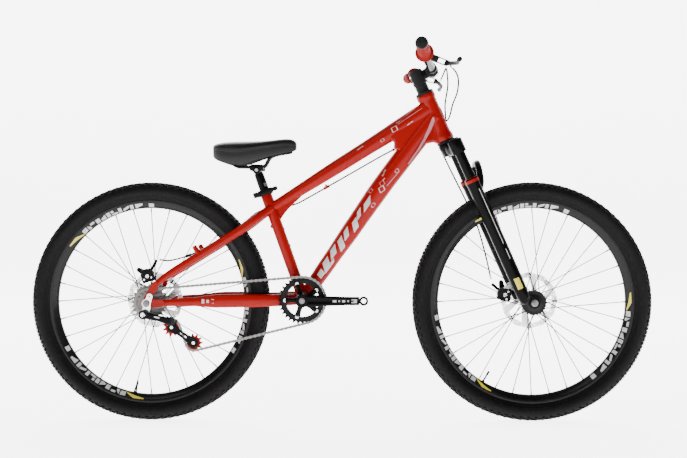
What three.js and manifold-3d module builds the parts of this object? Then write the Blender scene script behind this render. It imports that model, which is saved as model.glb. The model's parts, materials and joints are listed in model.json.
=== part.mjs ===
// A dirt-jump hardtail bicycle as an assembly of separate pieces.
// Millimetres. +X is forward, +Y is the rider's left, +Z is up, and the ground is z = 0,
// with the origin midway between the two axles.
import * as THREE from "three";
import { mergeVertices } from "three/addons/utils/BufferGeometryUtils.js";
import Module from "manifold-3d";

const wasm = await Module();
wasm.setup();

// ---------- driving dimensions ----------
const gap = 0.3; // clearance that neighbouring pieces keep
const right = -1; // the drive side
const left = 1;

const wheelbase = 1073;
const tyreRadius = 336;
const tyreWidth = 56;
const tyreWall = 3;
const beadRadius = tyreRadius - 56.5;
const rimInner = beadRadius - 16.5;
const rimWidth = 30;
const rimWall = 1.6;
const spokeCount = 32;
const spokeRadius = 1;
const axleRadius = 4.8;
const rotorRadius = 80;
const rotorThickness = 1.8;
const frontDropoutSpacing = 100;
const rearDropoutSpacing = 135;
const dropoutThickness = 5;

const headAngle = 66;
const headLength = 140;
const forkRake = 37.4; // the axle in front of the steering axis
const headRadius = 24;
const headBore = 20.5;
const steererRadius = 14.3;
const spacerHeight = 23;
const stemLength = 43.5;
const stemHeight = 40;
const stanchionRadius = 14;
const stanchionSpread = 62; // from the middle of the fork to each leg
const stanchionOffset = 16; // the legs stand this far in front of the steering axis
const crownThickness = 42;
const forkTravel = 70;
const forkRoom = 107.6; // for the crown and arch, over the tyre at full travel
const forkLength = tyreRadius + forkTravel + forkRoom; // from the axle to the head tube
const legRadius = 18.5;

const chainstayLength = tyreRadius + 94;
const bracketRise = 7; // above the axles
const shellRadius = 20.5;
const shellWidth = 73;
const seatAngle = 109.6;
const seatTubeLength = 326;
const seatTubeRadius = 16;
const postRadius = 13.4;
const postHeadHeight = 59; // the saddle pivot above the top of the seat tube
const wall = 1.8; // of the frame tubes

const crankLength = 170;
const crankFace = 80; // outer face of each crank arm from the middle plane
const crankThickness = 14;
const chainPitch = 12.7;
const chainringTeeth = 32;
const chainline = -47;
const sprocketTeeth = [14, 16, 18, 20, 22, 24];
const sprocketSpacing = 5;
const sprocketInUse = 18;
const pulleyTeeth = 11;

const barHalfWidth = 345;
const barRadius = 11.1;
const barClampRadius = 12.7;
const gripLength = 120;
const gripRadius = 16.7;
const cableRadius = 2.4;
const cableSides = 6;

// ---------- places worked out from them ----------
const point = (x, y, z) => new THREE.Vector3(x, y, z);
const turns = (degrees) => THREE.MathUtils.degToRad(degrees);
const lateral = point(0, 1, 0);
const sideways = (place, y) => point(place.x, y, place.z);

const rearAxle = point(-wheelbase / 2, 0, tyreRadius);
const frontAxle = point(wheelbase / 2, 0, tyreRadius);
const bracket = point(rearAxle.x + chainstayLength, 0, tyreRadius + bracketRise);
const headUp = point(-Math.cos(turns(headAngle)), 0, Math.sin(turns(headAngle)));
const headForward = point(headUp.z, 0, -headUp.x);
const headBottom = frontAxle
  .clone()
  .addScaledVector(headUp, forkLength)
  .addScaledVector(headForward, -forkRake);
const seatUp = point(Math.cos(turns(seatAngle)), 0, Math.sin(turns(seatAngle)));
const seatTop = bracket.clone().addScaledVector(seatUp, seatTubeLength);

// A place given along the steering axis (up), in front of it (forward) and sideways.
function atHead(up, side = 0, forward = 0) {
  return headBottom
    .clone()
    .addScaledVector(headUp, up)
    .addScaledVector(headForward, forward)
    .addScaledVector(lateral, side);
}

const axleUp = frontAxle.clone().sub(headBottom).dot(headUp);
const cupHeight = 8;
const spacerBase = headLength + cupHeight + gap;
const stemBase = spacerBase + spacerHeight + gap;
const steererTop = stemBase + stemHeight - gap;
const crownTop = -cupHeight - 2 * gap;
const crownBottom = crownTop - crownThickness;
const legTop = crownBottom - forkTravel - 5;
const barCentre = atHead(stemBase + stemHeight / 2 + 3, 0, stemLength);
const saddlePivot = seatTop.clone().addScaledVector(seatUp, postHeadHeight);

// ---------- solids ----------
function solid(geometry) {
  const loose = geometry.index ? geometry.toNonIndexed() : geometry;
  const bare = new THREE.BufferGeometry();
  bare.setAttribute("position", loose.getAttribute("position"));
  const merged = mergeVertices(bare, 1e-4);
  const vertProperties = new Float32Array(merged.attributes.position.array);
  const triVerts = new Uint32Array(merged.index.array);
  const made = new wasm.Manifold(new wasm.Mesh({ numProp: 3, vertProperties, triVerts }));
  if (made.volume() > 0) return made;
  for (let i = 0; i < triVerts.length; i += 3) {
    [triVerts[i + 1], triVerts[i + 2]] = [triVerts[i + 2], triVerts[i + 1]];
  }
  return new wasm.Manifold(new wasm.Mesh({ numProp: 3, vertProperties, triVerts }));
}

const join = (...solids) => solids.reduce((sum, next) => sum.add(next));
const cut = (body, ...tools) => tools.reduce((rest, tool) => rest.subtract(tool), body);

// A frame whose Y runs along `along`, and whose Z stays as near to `guide` as it can.
function basis(along, origin, guide) {
  const y = along.clone().normalize();
  const across = guide ?? (Math.abs(y.y) > 0.9 ? point(0, 0, 1) : lateral);
  const x = y.clone().cross(across).normalize();
  const z = x.clone().cross(y);
  return new THREE.Matrix4().makeBasis(x, y, z).setPosition(origin);
}

// A round bar between two places; `flat` squeezes it sideways into an oval one.
function rod(from, to, radius, endRadius = radius, sides = 12, flat = 1) {
  const along = to.clone().sub(from);
  const length = along.length();
  const shape = new THREE.CylinderGeometry(endRadius, radius, length, sides);
  shape.translate(0, length / 2, 0).scale(1, 1, flat);
  return solid(shape.applyMatrix4(basis(along, from)));
}

// A rectangular bar between two places.
function beam(from, to, height, width) {
  const along = to.clone().sub(from);
  const length = along.length();
  const shape = new THREE.BoxGeometry(height, length, width);
  shape.translate(0, length / 2, 0);
  return solid(shape.applyMatrix4(basis(along, from)));
}

function ball(centre, radius, flat = 1, sides = 8) {
  const shape = new THREE.SphereGeometry(radius, sides, Math.round(sides / 2)).scale(1, flat, 1);
  return solid(shape.translate(centre.x, centre.y, centre.z));
}

function block(low, high) {
  const size = high.clone().sub(low);
  const shape = new THREE.BoxGeometry(size.x, size.y, size.z);
  const middle = low.clone().add(high).multiplyScalar(0.5);
  return solid(shape.translate(middle.x, middle.y, middle.z));
}

// A bent bar through several places: `stops` holds [place, radius] pairs.
function run(stops, flat = 1, sides = 8, guide = lateral) {
  const last = stops.length - 1;
  const heading = (i) => {
    const from = stops[THREE.MathUtils.clamp(i, 0, last - 1)][0];
    const to = stops[THREE.MathUtils.clamp(i, 0, last - 1) + 1][0];
    return to.clone().sub(from).normalize();
  };
  const frames = stops.map(([place], i) => basis(heading(i - 1).add(heading(i)), place, guide));
  const shape = new THREE.CylinderGeometry(1, 1, 1, sides, last);
  const places = shape.getAttribute("position");
  const corner = new THREE.Vector3();
  for (let k = 0; k < places.count; k += 1) {
    corner.fromBufferAttribute(places, k);
    const i = Math.round((corner.y + 0.5) * last);
    corner.set(corner.x, 0, corner.z * flat).multiplyScalar(stops[i][1]).applyMatrix4(frames[i]);
    places.setXYZ(k, corner.x, corner.y, corner.z);
  }
  return solid(shape);
}

// A disc, ring or hub about a line across the bicycle. `profile` holds [radius, y] pairs.
function turned(profile, centre, sides = 16) {
  const outline = profile.map(([radius, y]) => new THREE.Vector2(radius, y));
  const shape = new THREE.LatheGeometry([...outline, outline[0]], sides);
  return solid(shape.translate(centre.x, centre.y, centre.z));
}

const disc = (centre, radius, low, high, sides = 12) =>
  rod(
    point(centre.x, low, centre.z),
    point(centre.x, high, centre.z),
    radius,
    radius,
    sides,
  );

// A flat plate standing along the bicycle, between two distances from its middle plane.
function plate(shape, low, high) {
  const flat = new THREE.ExtrudeGeometry(shape, { depth: high - low, bevelEnabled: false });
  return solid(flat.rotateX(Math.PI / 2).translate(0, high, 0));
}

function outline(pairs) {
  return new THREE.Shape(pairs.map(([x, z]) => new THREE.Vector2(x, z)));
}

// A cable through places in order.
function cable(places, radius = cableRadius, stepLength = 36) {
  const path = new THREE.CatmullRomCurve3(places, false, "centripetal");
  const steps = Math.min(80, Math.round(path.getLength() / stepLength));
  const section = new THREE.Shape();
  for (let i = 0; i < cableSides; i += 1) {
    const angle = (2 * Math.PI * i) / cableSides;
    const corner = [radius * Math.cos(angle), radius * Math.sin(angle)];
    if (i === 0) section.moveTo(...corner);
    else section.lineTo(...corner);
  }
  return solid(new THREE.ExtrudeGeometry(section, { steps, extrudePath: path, bevelEnabled: false }));
}

// ---------- the scene graph ----------
const bicycle = new THREE.Group();
const looks = {
  redPaint: { color: 0xb4200f, roughness: 0.3, metalness: 0.1 },
  blackPaint: { color: 0x0d0d10, roughness: 0.3, metalness: 0.1 },
  blackAlloy: { color: 0x17171a, roughness: 0.4, metalness: 0.7 },
  steel: { color: 0xb8b8bc, roughness: 0.3, metalness: 1 },
  chrome: { color: 0xd8d8dc, roughness: 0.12, metalness: 1 },
  rubber: { color: 0x151516, roughness: 0.8, metalness: 0 },
  redRubber: { color: 0xb03016, roughness: 0.7, metalness: 0 },
  redPlastic: { color: 0xc02a1c, roughness: 0.5, metalness: 0 },
  vinyl: { color: 0x101012, roughness: 0.5, metalness: 0 },
};

function add(name, body, look) {
  const { numProp, vertProperties, triVerts } = body.getMesh();
  const geometry = new THREE.BufferGeometry();
  const places = new THREE.InterleavedBuffer(vertProperties, numProp);
  geometry.setAttribute("position", new THREE.InterleavedBufferAttribute(places, 3, 0));
  geometry.setIndex(new THREE.BufferAttribute(triVerts, 1));
  const faceted = geometry.toNonIndexed();
  faceted.computeVertexNormals();
  const mesh = new THREE.Mesh(faceted, new THREE.MeshStandardMaterial(looks[look]));
  mesh.name = name;
  bicycle.add(mesh);
}

// ---------- head tube and headset ----------
// `profile` holds [radius, height] pairs along the steering axis.
function turnedOnHead(profile, sides = 16) {
  const edge = profile.map(([radius, up]) => new THREE.Vector2(radius, up));
  const shape = new THREE.LatheGeometry([...edge, edge[0]], sides);
  return solid(shape.applyMatrix4(basis(headUp, headBottom)));
}

const headSolid = (grow) =>
  turnedOnHead([
    [0, -grow],
    [headRadius + 3 + grow, -grow],
    [headRadius + 3 + grow, 12],
    [headRadius + grow, 20],
    [headRadius + grow, headLength - 18],
    [headRadius + 2.5 + grow, headLength - 12],
    [headRadius + 2.5 + grow, headLength + grow],
    [0, headLength + grow],
  ]);

const headBoreSolid = rod(atHead(-20), atHead(headLength + 20), headBore, headBore, 16);
add("head_tube", cut(headSolid(0), headBoreSolid), "redPaint");

function headsetCup(face, outward) {
  const sleeve = 14;
  return turnedOnHead([
    [steererRadius + gap, face + outward * cupHeight],
    [headRadius + 2, face + outward * cupHeight],
    [headRadius + 2, face],
    [headBore - gap, face],
    [headBore - gap, face - outward * sleeve],
    [steererRadius + gap, face - outward * sleeve],
  ]);
}
add("headset_upper_cup", headsetCup(headLength + gap, 1), "blackAlloy");
add("headset_lower_cup", headsetCup(-gap, -1), "blackAlloy");

// ---------- main tubes ----------
const shellSolid = (grow) =>
  disc(bracket, shellRadius + grow, -shellWidth / 2 - grow, shellWidth / 2 + grow, 16);
const shellBore = 17.3;
const shellBoreSolid = disc(bracket, shellBore, -shellWidth, shellWidth, 16);

const seatTubeSolid = (grow) =>
  rod(bracket, seatTop, seatTubeRadius + grow, seatTubeRadius + grow, 16);
const seatTubeBore = rod(
  bracket,
  seatTop.clone().addScaledVector(seatUp, 10),
  postRadius + gap,
  postRadius + gap,
  24,
);
// The seat tube and the bottom bracket shell are one piece.
add(
  "seat_tube",
  cut(join(seatTubeSolid(0), shellSolid(0)), seatTubeBore, shellBoreSolid),
  "redPaint",
);

const topStart = bracket.clone().addScaledVector(seatUp, seatTubeLength - 55);
const topEnd = atHead(100);
const topSolid = (grow) => rod(topStart, topEnd, 15 + grow, 26 + grow, 16, 0.88);
const gussetThickness = 10;
const seatGusset = plate(
  outline([
    [topStart.x + 20, topStart.z - 36],
    [topStart.x + 35, topStart.z + 4],
    [topStart.x + 46, topStart.z + 15],
    [topStart.x + 78, topStart.z + 34],
    [topStart.x, topStart.z + 5],
  ]),
  -gussetThickness / 2,
  gussetThickness / 2,
);
add(
  "top_tube",
  cut(
    join(cut(topSolid(0), topSolid(-wall)), cut(seatGusset, topSolid(-wall))),
    headSolid(gap),
    seatTubeSolid(gap),
  ),
  "redPaint",
);

// The down tube widens towards the head, where it meets the top tube from below.
const downEnd = atHead(headLength * 0.52);
const downKnee = bracket.clone().lerp(atHead(headLength * 0.61), 0.64);
const downSolid = (grow) =>
  run(
    [
      [bracket, 20 + grow],
      [bracket.clone().lerp(downKnee, 0.55), 27.5 + grow],
      [downKnee, 31 + grow],
      [downEnd, 31 + grow],
    ],
    0.85,
    14,
  );
add(
  "down_tube",
  cut(
    downSolid(0),
    downSolid(-wall),
    headSolid(gap),
    shellSolid(gap),
    seatTubeSolid(gap),
    topSolid(gap),
  ),
  "redPaint",
);

// ---------- rear dropouts ----------
const dropoutInner = rearDropoutSpacing / 2;
const dropoutOuter = dropoutInner + dropoutThickness;
const seatstayFoot = point(rearAxle.x + 24, 0, rearAxle.z + 52);
const chainstayFoot = point(rearAxle.x + 40, 0, rearAxle.z);

function dropoutSolid(side, grow) {
  const low = Math.min(side * (dropoutInner - grow), side * (dropoutOuter + grow));
  const high = Math.max(side * (dropoutInner - grow), side * (dropoutOuter + grow));
  const leg = (foot, radius) => {
    const across = foot.clone().sub(rearAxle).normalize();
    const edge = point(-across.z, 0, across.x).multiplyScalar(radius + grow);
    const near = rearAxle;
    return plate(
      outline([
        [near.x + edge.x, near.z + edge.z],
        [near.x - edge.x, near.z - edge.z],
        [foot.x - edge.x, foot.z - edge.z],
        [foot.x + edge.x, foot.z + edge.z],
      ]),
      low,
      high,
    );
  };
  return join(
    disc(rearAxle, 15 + grow, low, high),
    leg(seatstayFoot, 9),
    disc(seatstayFoot, 9 + grow, low, high),
    leg(chainstayFoot, 10),
    disc(chainstayFoot, 10 + grow, low, high),
  );
}
const rearAxleHole = disc(rearAxle, axleRadius + gap, -100, 100);
add("dropout_right", cut(dropoutSolid(right, 0), rearAxleHole), "redPaint");
add("dropout_left", cut(dropoutSolid(left, 0), rearAxleHole), "redPaint");

// ---------- stays ----------
// Stops along a stay: [share of its length, rise off the straight line, y, radius].
function stay(from, to, side, stops, flat) {
  const places = stops.map(([share, rise, y, radius]) => {
    const place = from.clone().lerp(to, share);
    return [point(place.x, side * y, place.z + rise), radius];
  });
  return run(places, flat);
}

const seatstayTop = seatTop.clone().addScaledVector(seatUp, -53);
const seatstay = (side) =>
  stay(
    seatstayTop,
    seatstayFoot,
    side,
    [
      [-0.006, -0.5, 11, 12.5],
      [0.133, -5, 34, 12.5],
      [0.27, -7, 41, 12.5],
      [0.642, -1, 52, 12],
      [0.916, 3.2, 60, 11.5],
      [1, 0, dropoutInner - 3, 9],
    ],
    0.66,
  );
// The bridge keeps clear of the tyre.
const tyreClearance = 12.5;
const bridgeRadius = 8;
const bridgePlace = seatstayTop.clone();
const bridgeStep = seatstayFoot.clone().sub(seatstayTop).setLength(1);
while (bridgePlace.distanceTo(rearAxle) > tyreRadius + tyreClearance + bridgeRadius + 4) {
  bridgePlace.add(bridgeStep);
}
bridgePlace.z -= 5;
const seatstayBridge = rod(
  sideways(bridgePlace, -38),
  sideways(bridgePlace, 38),
  bridgeRadius,
  bridgeRadius,
  8,
);
add(
  "seatstays",
  cut(
    join(seatstay(right), seatstay(left), seatstayBridge),
    seatTubeSolid(gap),
    topSolid(gap),
    dropoutSolid(right, gap),
    dropoutSolid(left, gap),
  ),
  "redPaint",
);

const chainstay = (side) =>
  stay(
    bracket,
    chainstayFoot,
    side,
    [
      [0, 0, 24, 14],
      [0.183, -0.7, 31, 17],
      [0.322, 0.3, 41, 19],
      [0.496, 1.5, 47, 19],
      [0.855, 1, 58, 12],
      [1, 0, dropoutInner - 2, 10],
    ],
    0.42,
  );
const chainstayBridgePlace = point(rearAxle.x + tyreRadius + 16.5, 0, rearAxle.z + 5);
const chainstayBridge = rod(
  sideways(chainstayBridgePlace, -30),
  sideways(chainstayBridgePlace, 30),
  9,
  9,
  8,
);
add(
  "chainstays",
  cut(
    join(chainstay(right), chainstay(left), chainstayBridge),
    shellSolid(gap),
    seatTubeSolid(gap),
    downSolid(gap),
    dropoutSolid(right, gap),
    dropoutSolid(left, gap),
  ),
  "redPaint",
);

// ---------- seat clamp, post and saddle ----------
const collarHeight = 17;
const collarLow = seatTop.clone().addScaledVector(seatUp, -collarHeight + 2);
const collarHigh = seatTop.clone().addScaledVector(seatUp, 2);
const collarRadius = seatTubeRadius + gap + 5;
const collarBack = point(-seatUp.z, 0, seatUp.x);
const collarMiddle = collarLow.clone().lerp(collarHigh, 0.5);
const clampPivot = collarMiddle.clone().addScaledVector(collarBack, collarRadius + 6);
const earReach = 14;
add(
  "seat_clamp_collar",
  cut(
    join(
      rod(collarLow, collarHigh, collarRadius, collarRadius, 16),
      beam(
        collarMiddle.clone().addScaledVector(seatUp, -7),
        collarMiddle.clone().addScaledVector(seatUp, 7),
        2 * (collarRadius + 11),
        2 * earReach,
      ).intersect(
        beam(
          clampPivot.clone().addScaledVector(seatUp, -9),
          clampPivot.clone().addScaledVector(seatUp, 9),
          22,
          40,
        ),
      ),
      rod(sideways(clampPivot, -earReach), sideways(clampPivot, -earReach - 5), 3, 3, 12),
      rod(sideways(clampPivot, earReach), sideways(clampPivot, earReach + 7), 6, 6, 12),
    ),
    rod(
      seatTop.clone().addScaledVector(seatUp, -60),
      seatTop.clone().addScaledVector(seatUp, 20),
      seatTubeRadius + gap,
      seatTubeRadius + gap,
      16,
    ),
  ),
  "blackAlloy",
);

const leverFace = -earReach - 5 - gap;
const clampLeverTip = clampPivot.clone().addScaledVector(collarBack, -60);
add(
  "seat_clamp_lever",
  join(
    rod(
      point(clampPivot.x, leverFace - 6, clampPivot.z).addScaledVector(seatUp, -7),
      point(clampPivot.x, leverFace - 6, clampPivot.z).addScaledVector(seatUp, 7),
      6,
      6,
      16,
    ),
    beam(sideways(clampPivot, leverFace - 6.5), sideways(clampLeverTip, leverFace - 8), 11, 5),
    rod(
      sideways(clampLeverTip, leverFace - 5.5),
      sideways(clampLeverTip, leverFace - 10.5),
      6.5,
      6.5,
      16,
    ),
  ),
  "blackAlloy",
);

const postDepth = 150;
const pivotRadius = 12;
const pivotWidth = 34;
add(
  "seatpost",
  cut(
    join(
      rod(seatTop.clone().addScaledVector(seatUp, -postDepth), saddlePivot, postRadius, postRadius, 16),
      disc(saddlePivot, pivotRadius, -pivotWidth / 2, pivotWidth / 2),
    ),
    rod(
      seatTop.clone().addScaledVector(seatUp, -postDepth - 5),
      saddlePivot.clone().addScaledVector(seatUp, -20),
      postRadius - 2,
    ),
  ),
  "blackAlloy",
);

const railRadius = 3.5;
const railSpread = 24;
const railHeight = saddlePivot.z + 9;
const railX = saddlePivot.x;
const railRear = point(railX - 96, 30, railHeight + 27);
const railFront = point(railX + 92, 9, railHeight + 34);
function railSide(side) {
  const place = (x, y, z) => [point(x, side * y, z), railRadius];
  return run(
    [
      place(railRear.x, railRear.y, railRear.z),
      place(railX - 56, railSpread, railHeight),
      place(railX + 28, railSpread, railHeight),
      place(railFront.x, railFront.y, railFront.z),
      place(railFront.x + 6, 0, railFront.z + 2),
    ],
    1,
    8,
    point(0, 0, 1),
  );
}
const clampBody = block(
  point(railX - 20, -railSpread - 8, saddlePivot.z - 4),
  point(railX + 20, railSpread + 8, railHeight + 8),
);
const clampBolt = disc(saddlePivot, 5, -railSpread - 14, railSpread + 14, 12);
add(
  "saddle_rails",
  join(
    railSide(left),
    railSide(right),
    cut(
      join(clampBody, clampBolt),
      disc(saddlePivot, postRadius + 2, -pivotWidth / 2 - gap, pivotWidth / 2 + gap),
      rod(saddlePivot.clone().addScaledVector(seatUp, -40), saddlePivot, postRadius + 3.5),
    ),
  ),
  "steel",
);

// The saddle's outline is set by stations along its length, from its tail (0) to its nose (1).
const saddleLength = 236;
const saddleTail = railX - 124;
const stations = [0, 0.12, 0.3, 0.45, 0.65, 0.85, 1];
const halfWidths = [48, 68, 75, 60, 33, 22, 16];
const tops = [777, 783, 786, 787, 790, 797, 790];
const bottoms = [736, 722, 709, 716, 738, 752, 758];

function alongStations(values, t) {
  const i = Math.min(stations.length - 2, stations.filter((s) => s <= t).length - 1);
  const share = (t - stations[i]) / (stations[i + 1] - stations[i]);
  return THREE.MathUtils.lerp(values[i], values[i + 1], share);
}

// A sphere pulled into the saddle's form; `inset` makes the smaller form that hollows it.
function saddleForm(inset, drop) {
  const shape = new THREE.SphereGeometry(1, 12, 10).rotateZ(Math.PI / 2);
  const places = shape.getAttribute("position");
  for (let i = 0; i < places.count; i += 1) {
    const along = THREE.MathUtils.clamp(places.getX(i), -1, 1);
    const ring = Math.sqrt(1 - along * along);
    const blunt = ring ** 0.45;
    const share = ring < 1e-6 ? 0 : 1 / ring;
    const t = (along + 1) / 2;
    const top = alongStations(tops, t) - drop;
    const bottom = alongStations(bottoms, t) - drop;
    const y = places.getY(i) * share * blunt * Math.max(3, alongStations(halfWidths, t) - inset);
    const z = (top + bottom) / 2 + (places.getZ(i) * share * blunt * (top - bottom)) / 2;
    places.setXYZ(i, saddleTail + inset + t * (saddleLength - 2 * inset), y, z);
  }
  return solid(shape);
}
const saddleLift = saddlePivot.z - 706.3;
const saddleShell = cut(saddleForm(0, 0), saddleForm(7, 38)).translate([0, 0, saddleLift]);
const railRoom = (side) =>
  join(
    rod(
      sideways(railRear, side * railRear.y),
      point(railX - 56, side * railSpread, railHeight),
      railRadius + 1.5,
      railRadius + 1.5,
      8,
    ),
    ball(sideways(railRear, side * railRear.y), railRadius + 1.5, 1, 8),
    rod(
      point(railX + 28, side * railSpread, railHeight),
      sideways(railFront, side * railFront.y),
      railRadius + 1.5,
      railRadius + 1.5,
      8,
    ),
    rod(
      sideways(railFront, side * railFront.y),
      point(railFront.x + 6, 0, railFront.z + 2),
      railRadius + 2,
      railRadius + 2,
      8,
    ),
    ball(sideways(railFront, side * railFront.y), railRadius + 2, 1, 8),
  );
add("saddle", cut(saddleShell, railRoom(left), railRoom(right)), "vinyl");

// ---------- fork ----------
const legPlace = (side, up) => atHead(up, side * stanchionSpread, stanchionOffset);
const stanchionLow = legTop - 200;
const stanchionSolid = (side, grow) =>
  rod(
    legPlace(side, stanchionLow - grow),
    legPlace(side, crownTop + 3 + grow),
    stanchionRadius + grow,
    stanchionRadius + grow,
    16,
  );

const crownBoss = (side) =>
  rod(legPlace(side, crownBottom), legPlace(side, crownTop - 1), stanchionRadius + 6.5);
const crownBridge = beam(
  atHead(crownTop - 2, 0, stanchionOffset / 2),
  atHead(crownBottom + 8, 0, stanchionOffset / 2),
  34,
  2 * stanchionSpread,
);
add(
  "fork_crown",
  cut(
    join(
      rod(atHead(crownBottom + 6), atHead(crownTop), headRadius + 2, headRadius + 2, 16),
      crownBridge,
      crownBoss(left),
      crownBoss(right),
      rod(atHead(crownTop - 5), atHead(steererTop), steererRadius, steererRadius, 16),
    ),
    rod(atHead(crownBottom - 1), atHead(steererTop + 1), steererRadius - 2.2),
    stanchionSolid(left, gap),
    stanchionSolid(right, gap),
  ),
  "blackPaint",
);

function stanchion(side) {
  const bore = rod(legPlace(side, stanchionLow - 5), legPlace(side, crownTop - 8), stanchionRadius - 1.8);
  return cut(stanchionSolid(side, 0), bore);
}
add("stanchion_right", stanchion(right), "chrome");
add("stanchion_left", stanchion(left), "chrome");

const legBottom = axleUp + 22;
const forkPlateInner = frontDropoutSpacing / 2;
const forkPlateOuter = forkPlateInner + 7;
const legSolid = (side, grow) =>
  join(
    rod(legPlace(side, legBottom), legPlace(side, legTop), legRadius + grow),
    rod(legPlace(side, legTop - 20), legPlace(side, legTop + grow), legRadius + 1.5 + grow),
  );
function forkPlate(side) {
  const inner = side * (forkPlateInner + gap);
  const outer = side * forkPlateOuter;
  const low = Math.min(inner, outer);
  const high = Math.max(inner, outer);
  const foot = atHead(legBottom + 14, 0, stanchionOffset);
  const across = headForward.clone().multiplyScalar(15);
  return join(
    disc(frontAxle, 14, low, high),
    plate(
      outline([
        [foot.x - across.x, foot.z - across.z],
        [frontAxle.x - across.x * 0.9, frontAxle.z - across.z * 0.9],
        [frontAxle.x + across.x * 0.9, frontAxle.z + across.z * 0.9],
        [foot.x + across.x, foot.z + across.z],
      ]),
      low,
      high,
    ),
    ball(legPlace(side, legBottom), legRadius, 1, 12),
  );
}
const archTop = legTop + 30;
const archForward = 52;
const arch = run(
  [
    [atHead(legTop - 38, -stanchionSpread + 4, 26), 11],
    [atHead(legTop + 6, -stanchionSpread + 12, archForward - 4), 11],
    [atHead(archTop, -24, archForward + 4), 11],
    [atHead(archTop, 24, archForward + 4), 11],
    [atHead(legTop + 6, stanchionSpread - 12, archForward - 4), 11],
    [atHead(legTop - 38, stanchionSpread - 4, 26), 11],
  ],
  1,
  10,
  headForward,
);
const slideRoom = (side) =>
  rod(
    legPlace(side, stanchionLow - forkTravel - 8),
    legPlace(side, legTop + 60),
    stanchionRadius + gap,
    stanchionRadius + gap,
    16,
  );
add(
  "fork_lowers",
  cut(
    join(legSolid(left, 0), legSolid(right, 0), forkPlate(left), forkPlate(right), arch),
    slideRoom(left),
    slideRoom(right),
    disc(frontAxle, axleRadius + gap, -100, 100),
  ),
  "blackPaint",
);

// ---------- cockpit ----------
const collar = (from, to, radius) =>
  turnedOnHead([
    [steererRadius + gap, from],
    [radius, from],
    [radius, to],
    [steererRadius + gap, to],
  ]);
add("headset_spacers", collar(spacerBase, stemBase - gap, steererRadius + 3.5), "blackAlloy");

// The bar's outer ends are straight, so that grips and brake perches slide on.
const barBend = (side) => point(barCentre.x - 6, side * 60, barCentre.z + 3);
const barShoulder = (side) => point(barCentre.x - 29, side * 190, barCentre.z + 13);
const barEnd = (side) => point(barCentre.x - 49, side * barHalfWidth, barCentre.z + 23);
const barSolid = (grow) =>
  join(
    run(
      [
        [barEnd(right), barRadius + grow],
        [barShoulder(right), barRadius + grow],
        [barBend(right), barRadius + grow],
        [point(barCentre.x, -40, barCentre.z), barRadius + grow],
        [point(barCentre.x, 40, barCentre.z), barRadius + grow],
        [barBend(left), barRadius + grow],
        [barShoulder(left), barRadius + grow],
        [barEnd(left), barRadius + grow],
      ],
      1,
      12,
      point(0, 0, 1),
    ),
    disc(barCentre, barClampRadius + grow, -36, 36),
  );
const onBar = (side, reach) => {
  const share = (reach - 190) / (barHalfWidth - 190);
  return barShoulder(side).lerp(barEnd(side), share);
};
const boredBar = cut(
  barSolid(0),
  rod(barShoulder(right), onBar(right, barHalfWidth + 5), barRadius - 2),
  rod(barShoulder(left), onBar(left, barHalfWidth + 5), barRadius - 2),
);
add("handlebar", boredBar, "blackPaint");

const barClampWidth = 44;
const barClampOuter = barClampRadius + 6;
const clampRing = cut(
  disc(barCentre, barClampOuter, -barClampWidth / 2, barClampWidth / 2),
  disc(barCentre, barClampRadius + gap, -barClampWidth, barClampWidth),
);
const frontHalf = beam(
  barCentre.clone().addScaledVector(headForward, gap),
  barCentre.clone().addScaledVector(headForward, 60),
  60,
  2 * barClampWidth,
);
const backHalf = beam(
  barCentre.clone().addScaledVector(headForward, -gap),
  barCentre.clone().addScaledVector(headForward, -60),
  60,
  2 * barClampWidth,
);
const faceBolt = (side, up) => {
  const place = barCentre
    .clone()
    .addScaledVector(headUp, up * (barClampOuter - 4))
    .addScaledVector(lateral, side * 15);
  return rod(
    place.clone().addScaledVector(headForward, gap),
    place.clone().addScaledVector(headForward, 15),
    4,
    4,
    8,
  );
};
add(
  "stem_faceplate",
  cut(
    join(
      clampRing.intersect(frontHalf),
      faceBolt(left, 1),
      faceBolt(left, -1),
      faceBolt(right, 1),
      faceBolt(right, -1),
    ),
    barSolid(gap),
  ),
  "blackAlloy",
);
const stemMiddle = stemBase + stemHeight / 2;
add(
  "stem",
  cut(
    join(
      rod(atHead(stemBase), atHead(stemBase + stemHeight), steererRadius + 5.5),
      beam(atHead(stemMiddle), barCentre.clone().addScaledVector(headForward, -8), 30, 34),
      clampRing.intersect(backHalf),
      rod(
        atHead(stemBase + stemHeight - 3),
        atHead(stemBase + stemHeight + 3),
        steererRadius + 2.5,
      ),
    ),
    rod(atHead(stemBase - 5), atHead(stemBase + stemHeight), steererRadius + gap, steererRadius + gap, 16),
    barSolid(gap),
    frontHalf,
  ),
  "blackAlloy",
);

function grip(side) {
  const inner = barHalfWidth - gripLength;
  return cut(
    join(
      rod(onBar(side, inner + 3), onBar(side, barHalfWidth + 2), gripRadius),
      rod(onBar(side, inner), onBar(side, inner + 4), gripRadius + 8),
    ),
    rod(onBar(side, inner - 5), onBar(side, barHalfWidth), barRadius + gap),
  );
}
add("grip_right", grip(right), "redRubber");
add("grip_left", grip(left), "redRubber");

// ---------- brake levers ----------
const perchReach = 205;
const leverPivot = (side) => {
  const middle = onBar(side, perchReach);
  return point(middle.x + 58, side * 190, middle.z - 20);
};
const leverAxis = point(0.38, 0, 0.925);
const alongLeverAxis = (place, distance) => place.clone().addScaledVector(leverAxis, distance);

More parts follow.
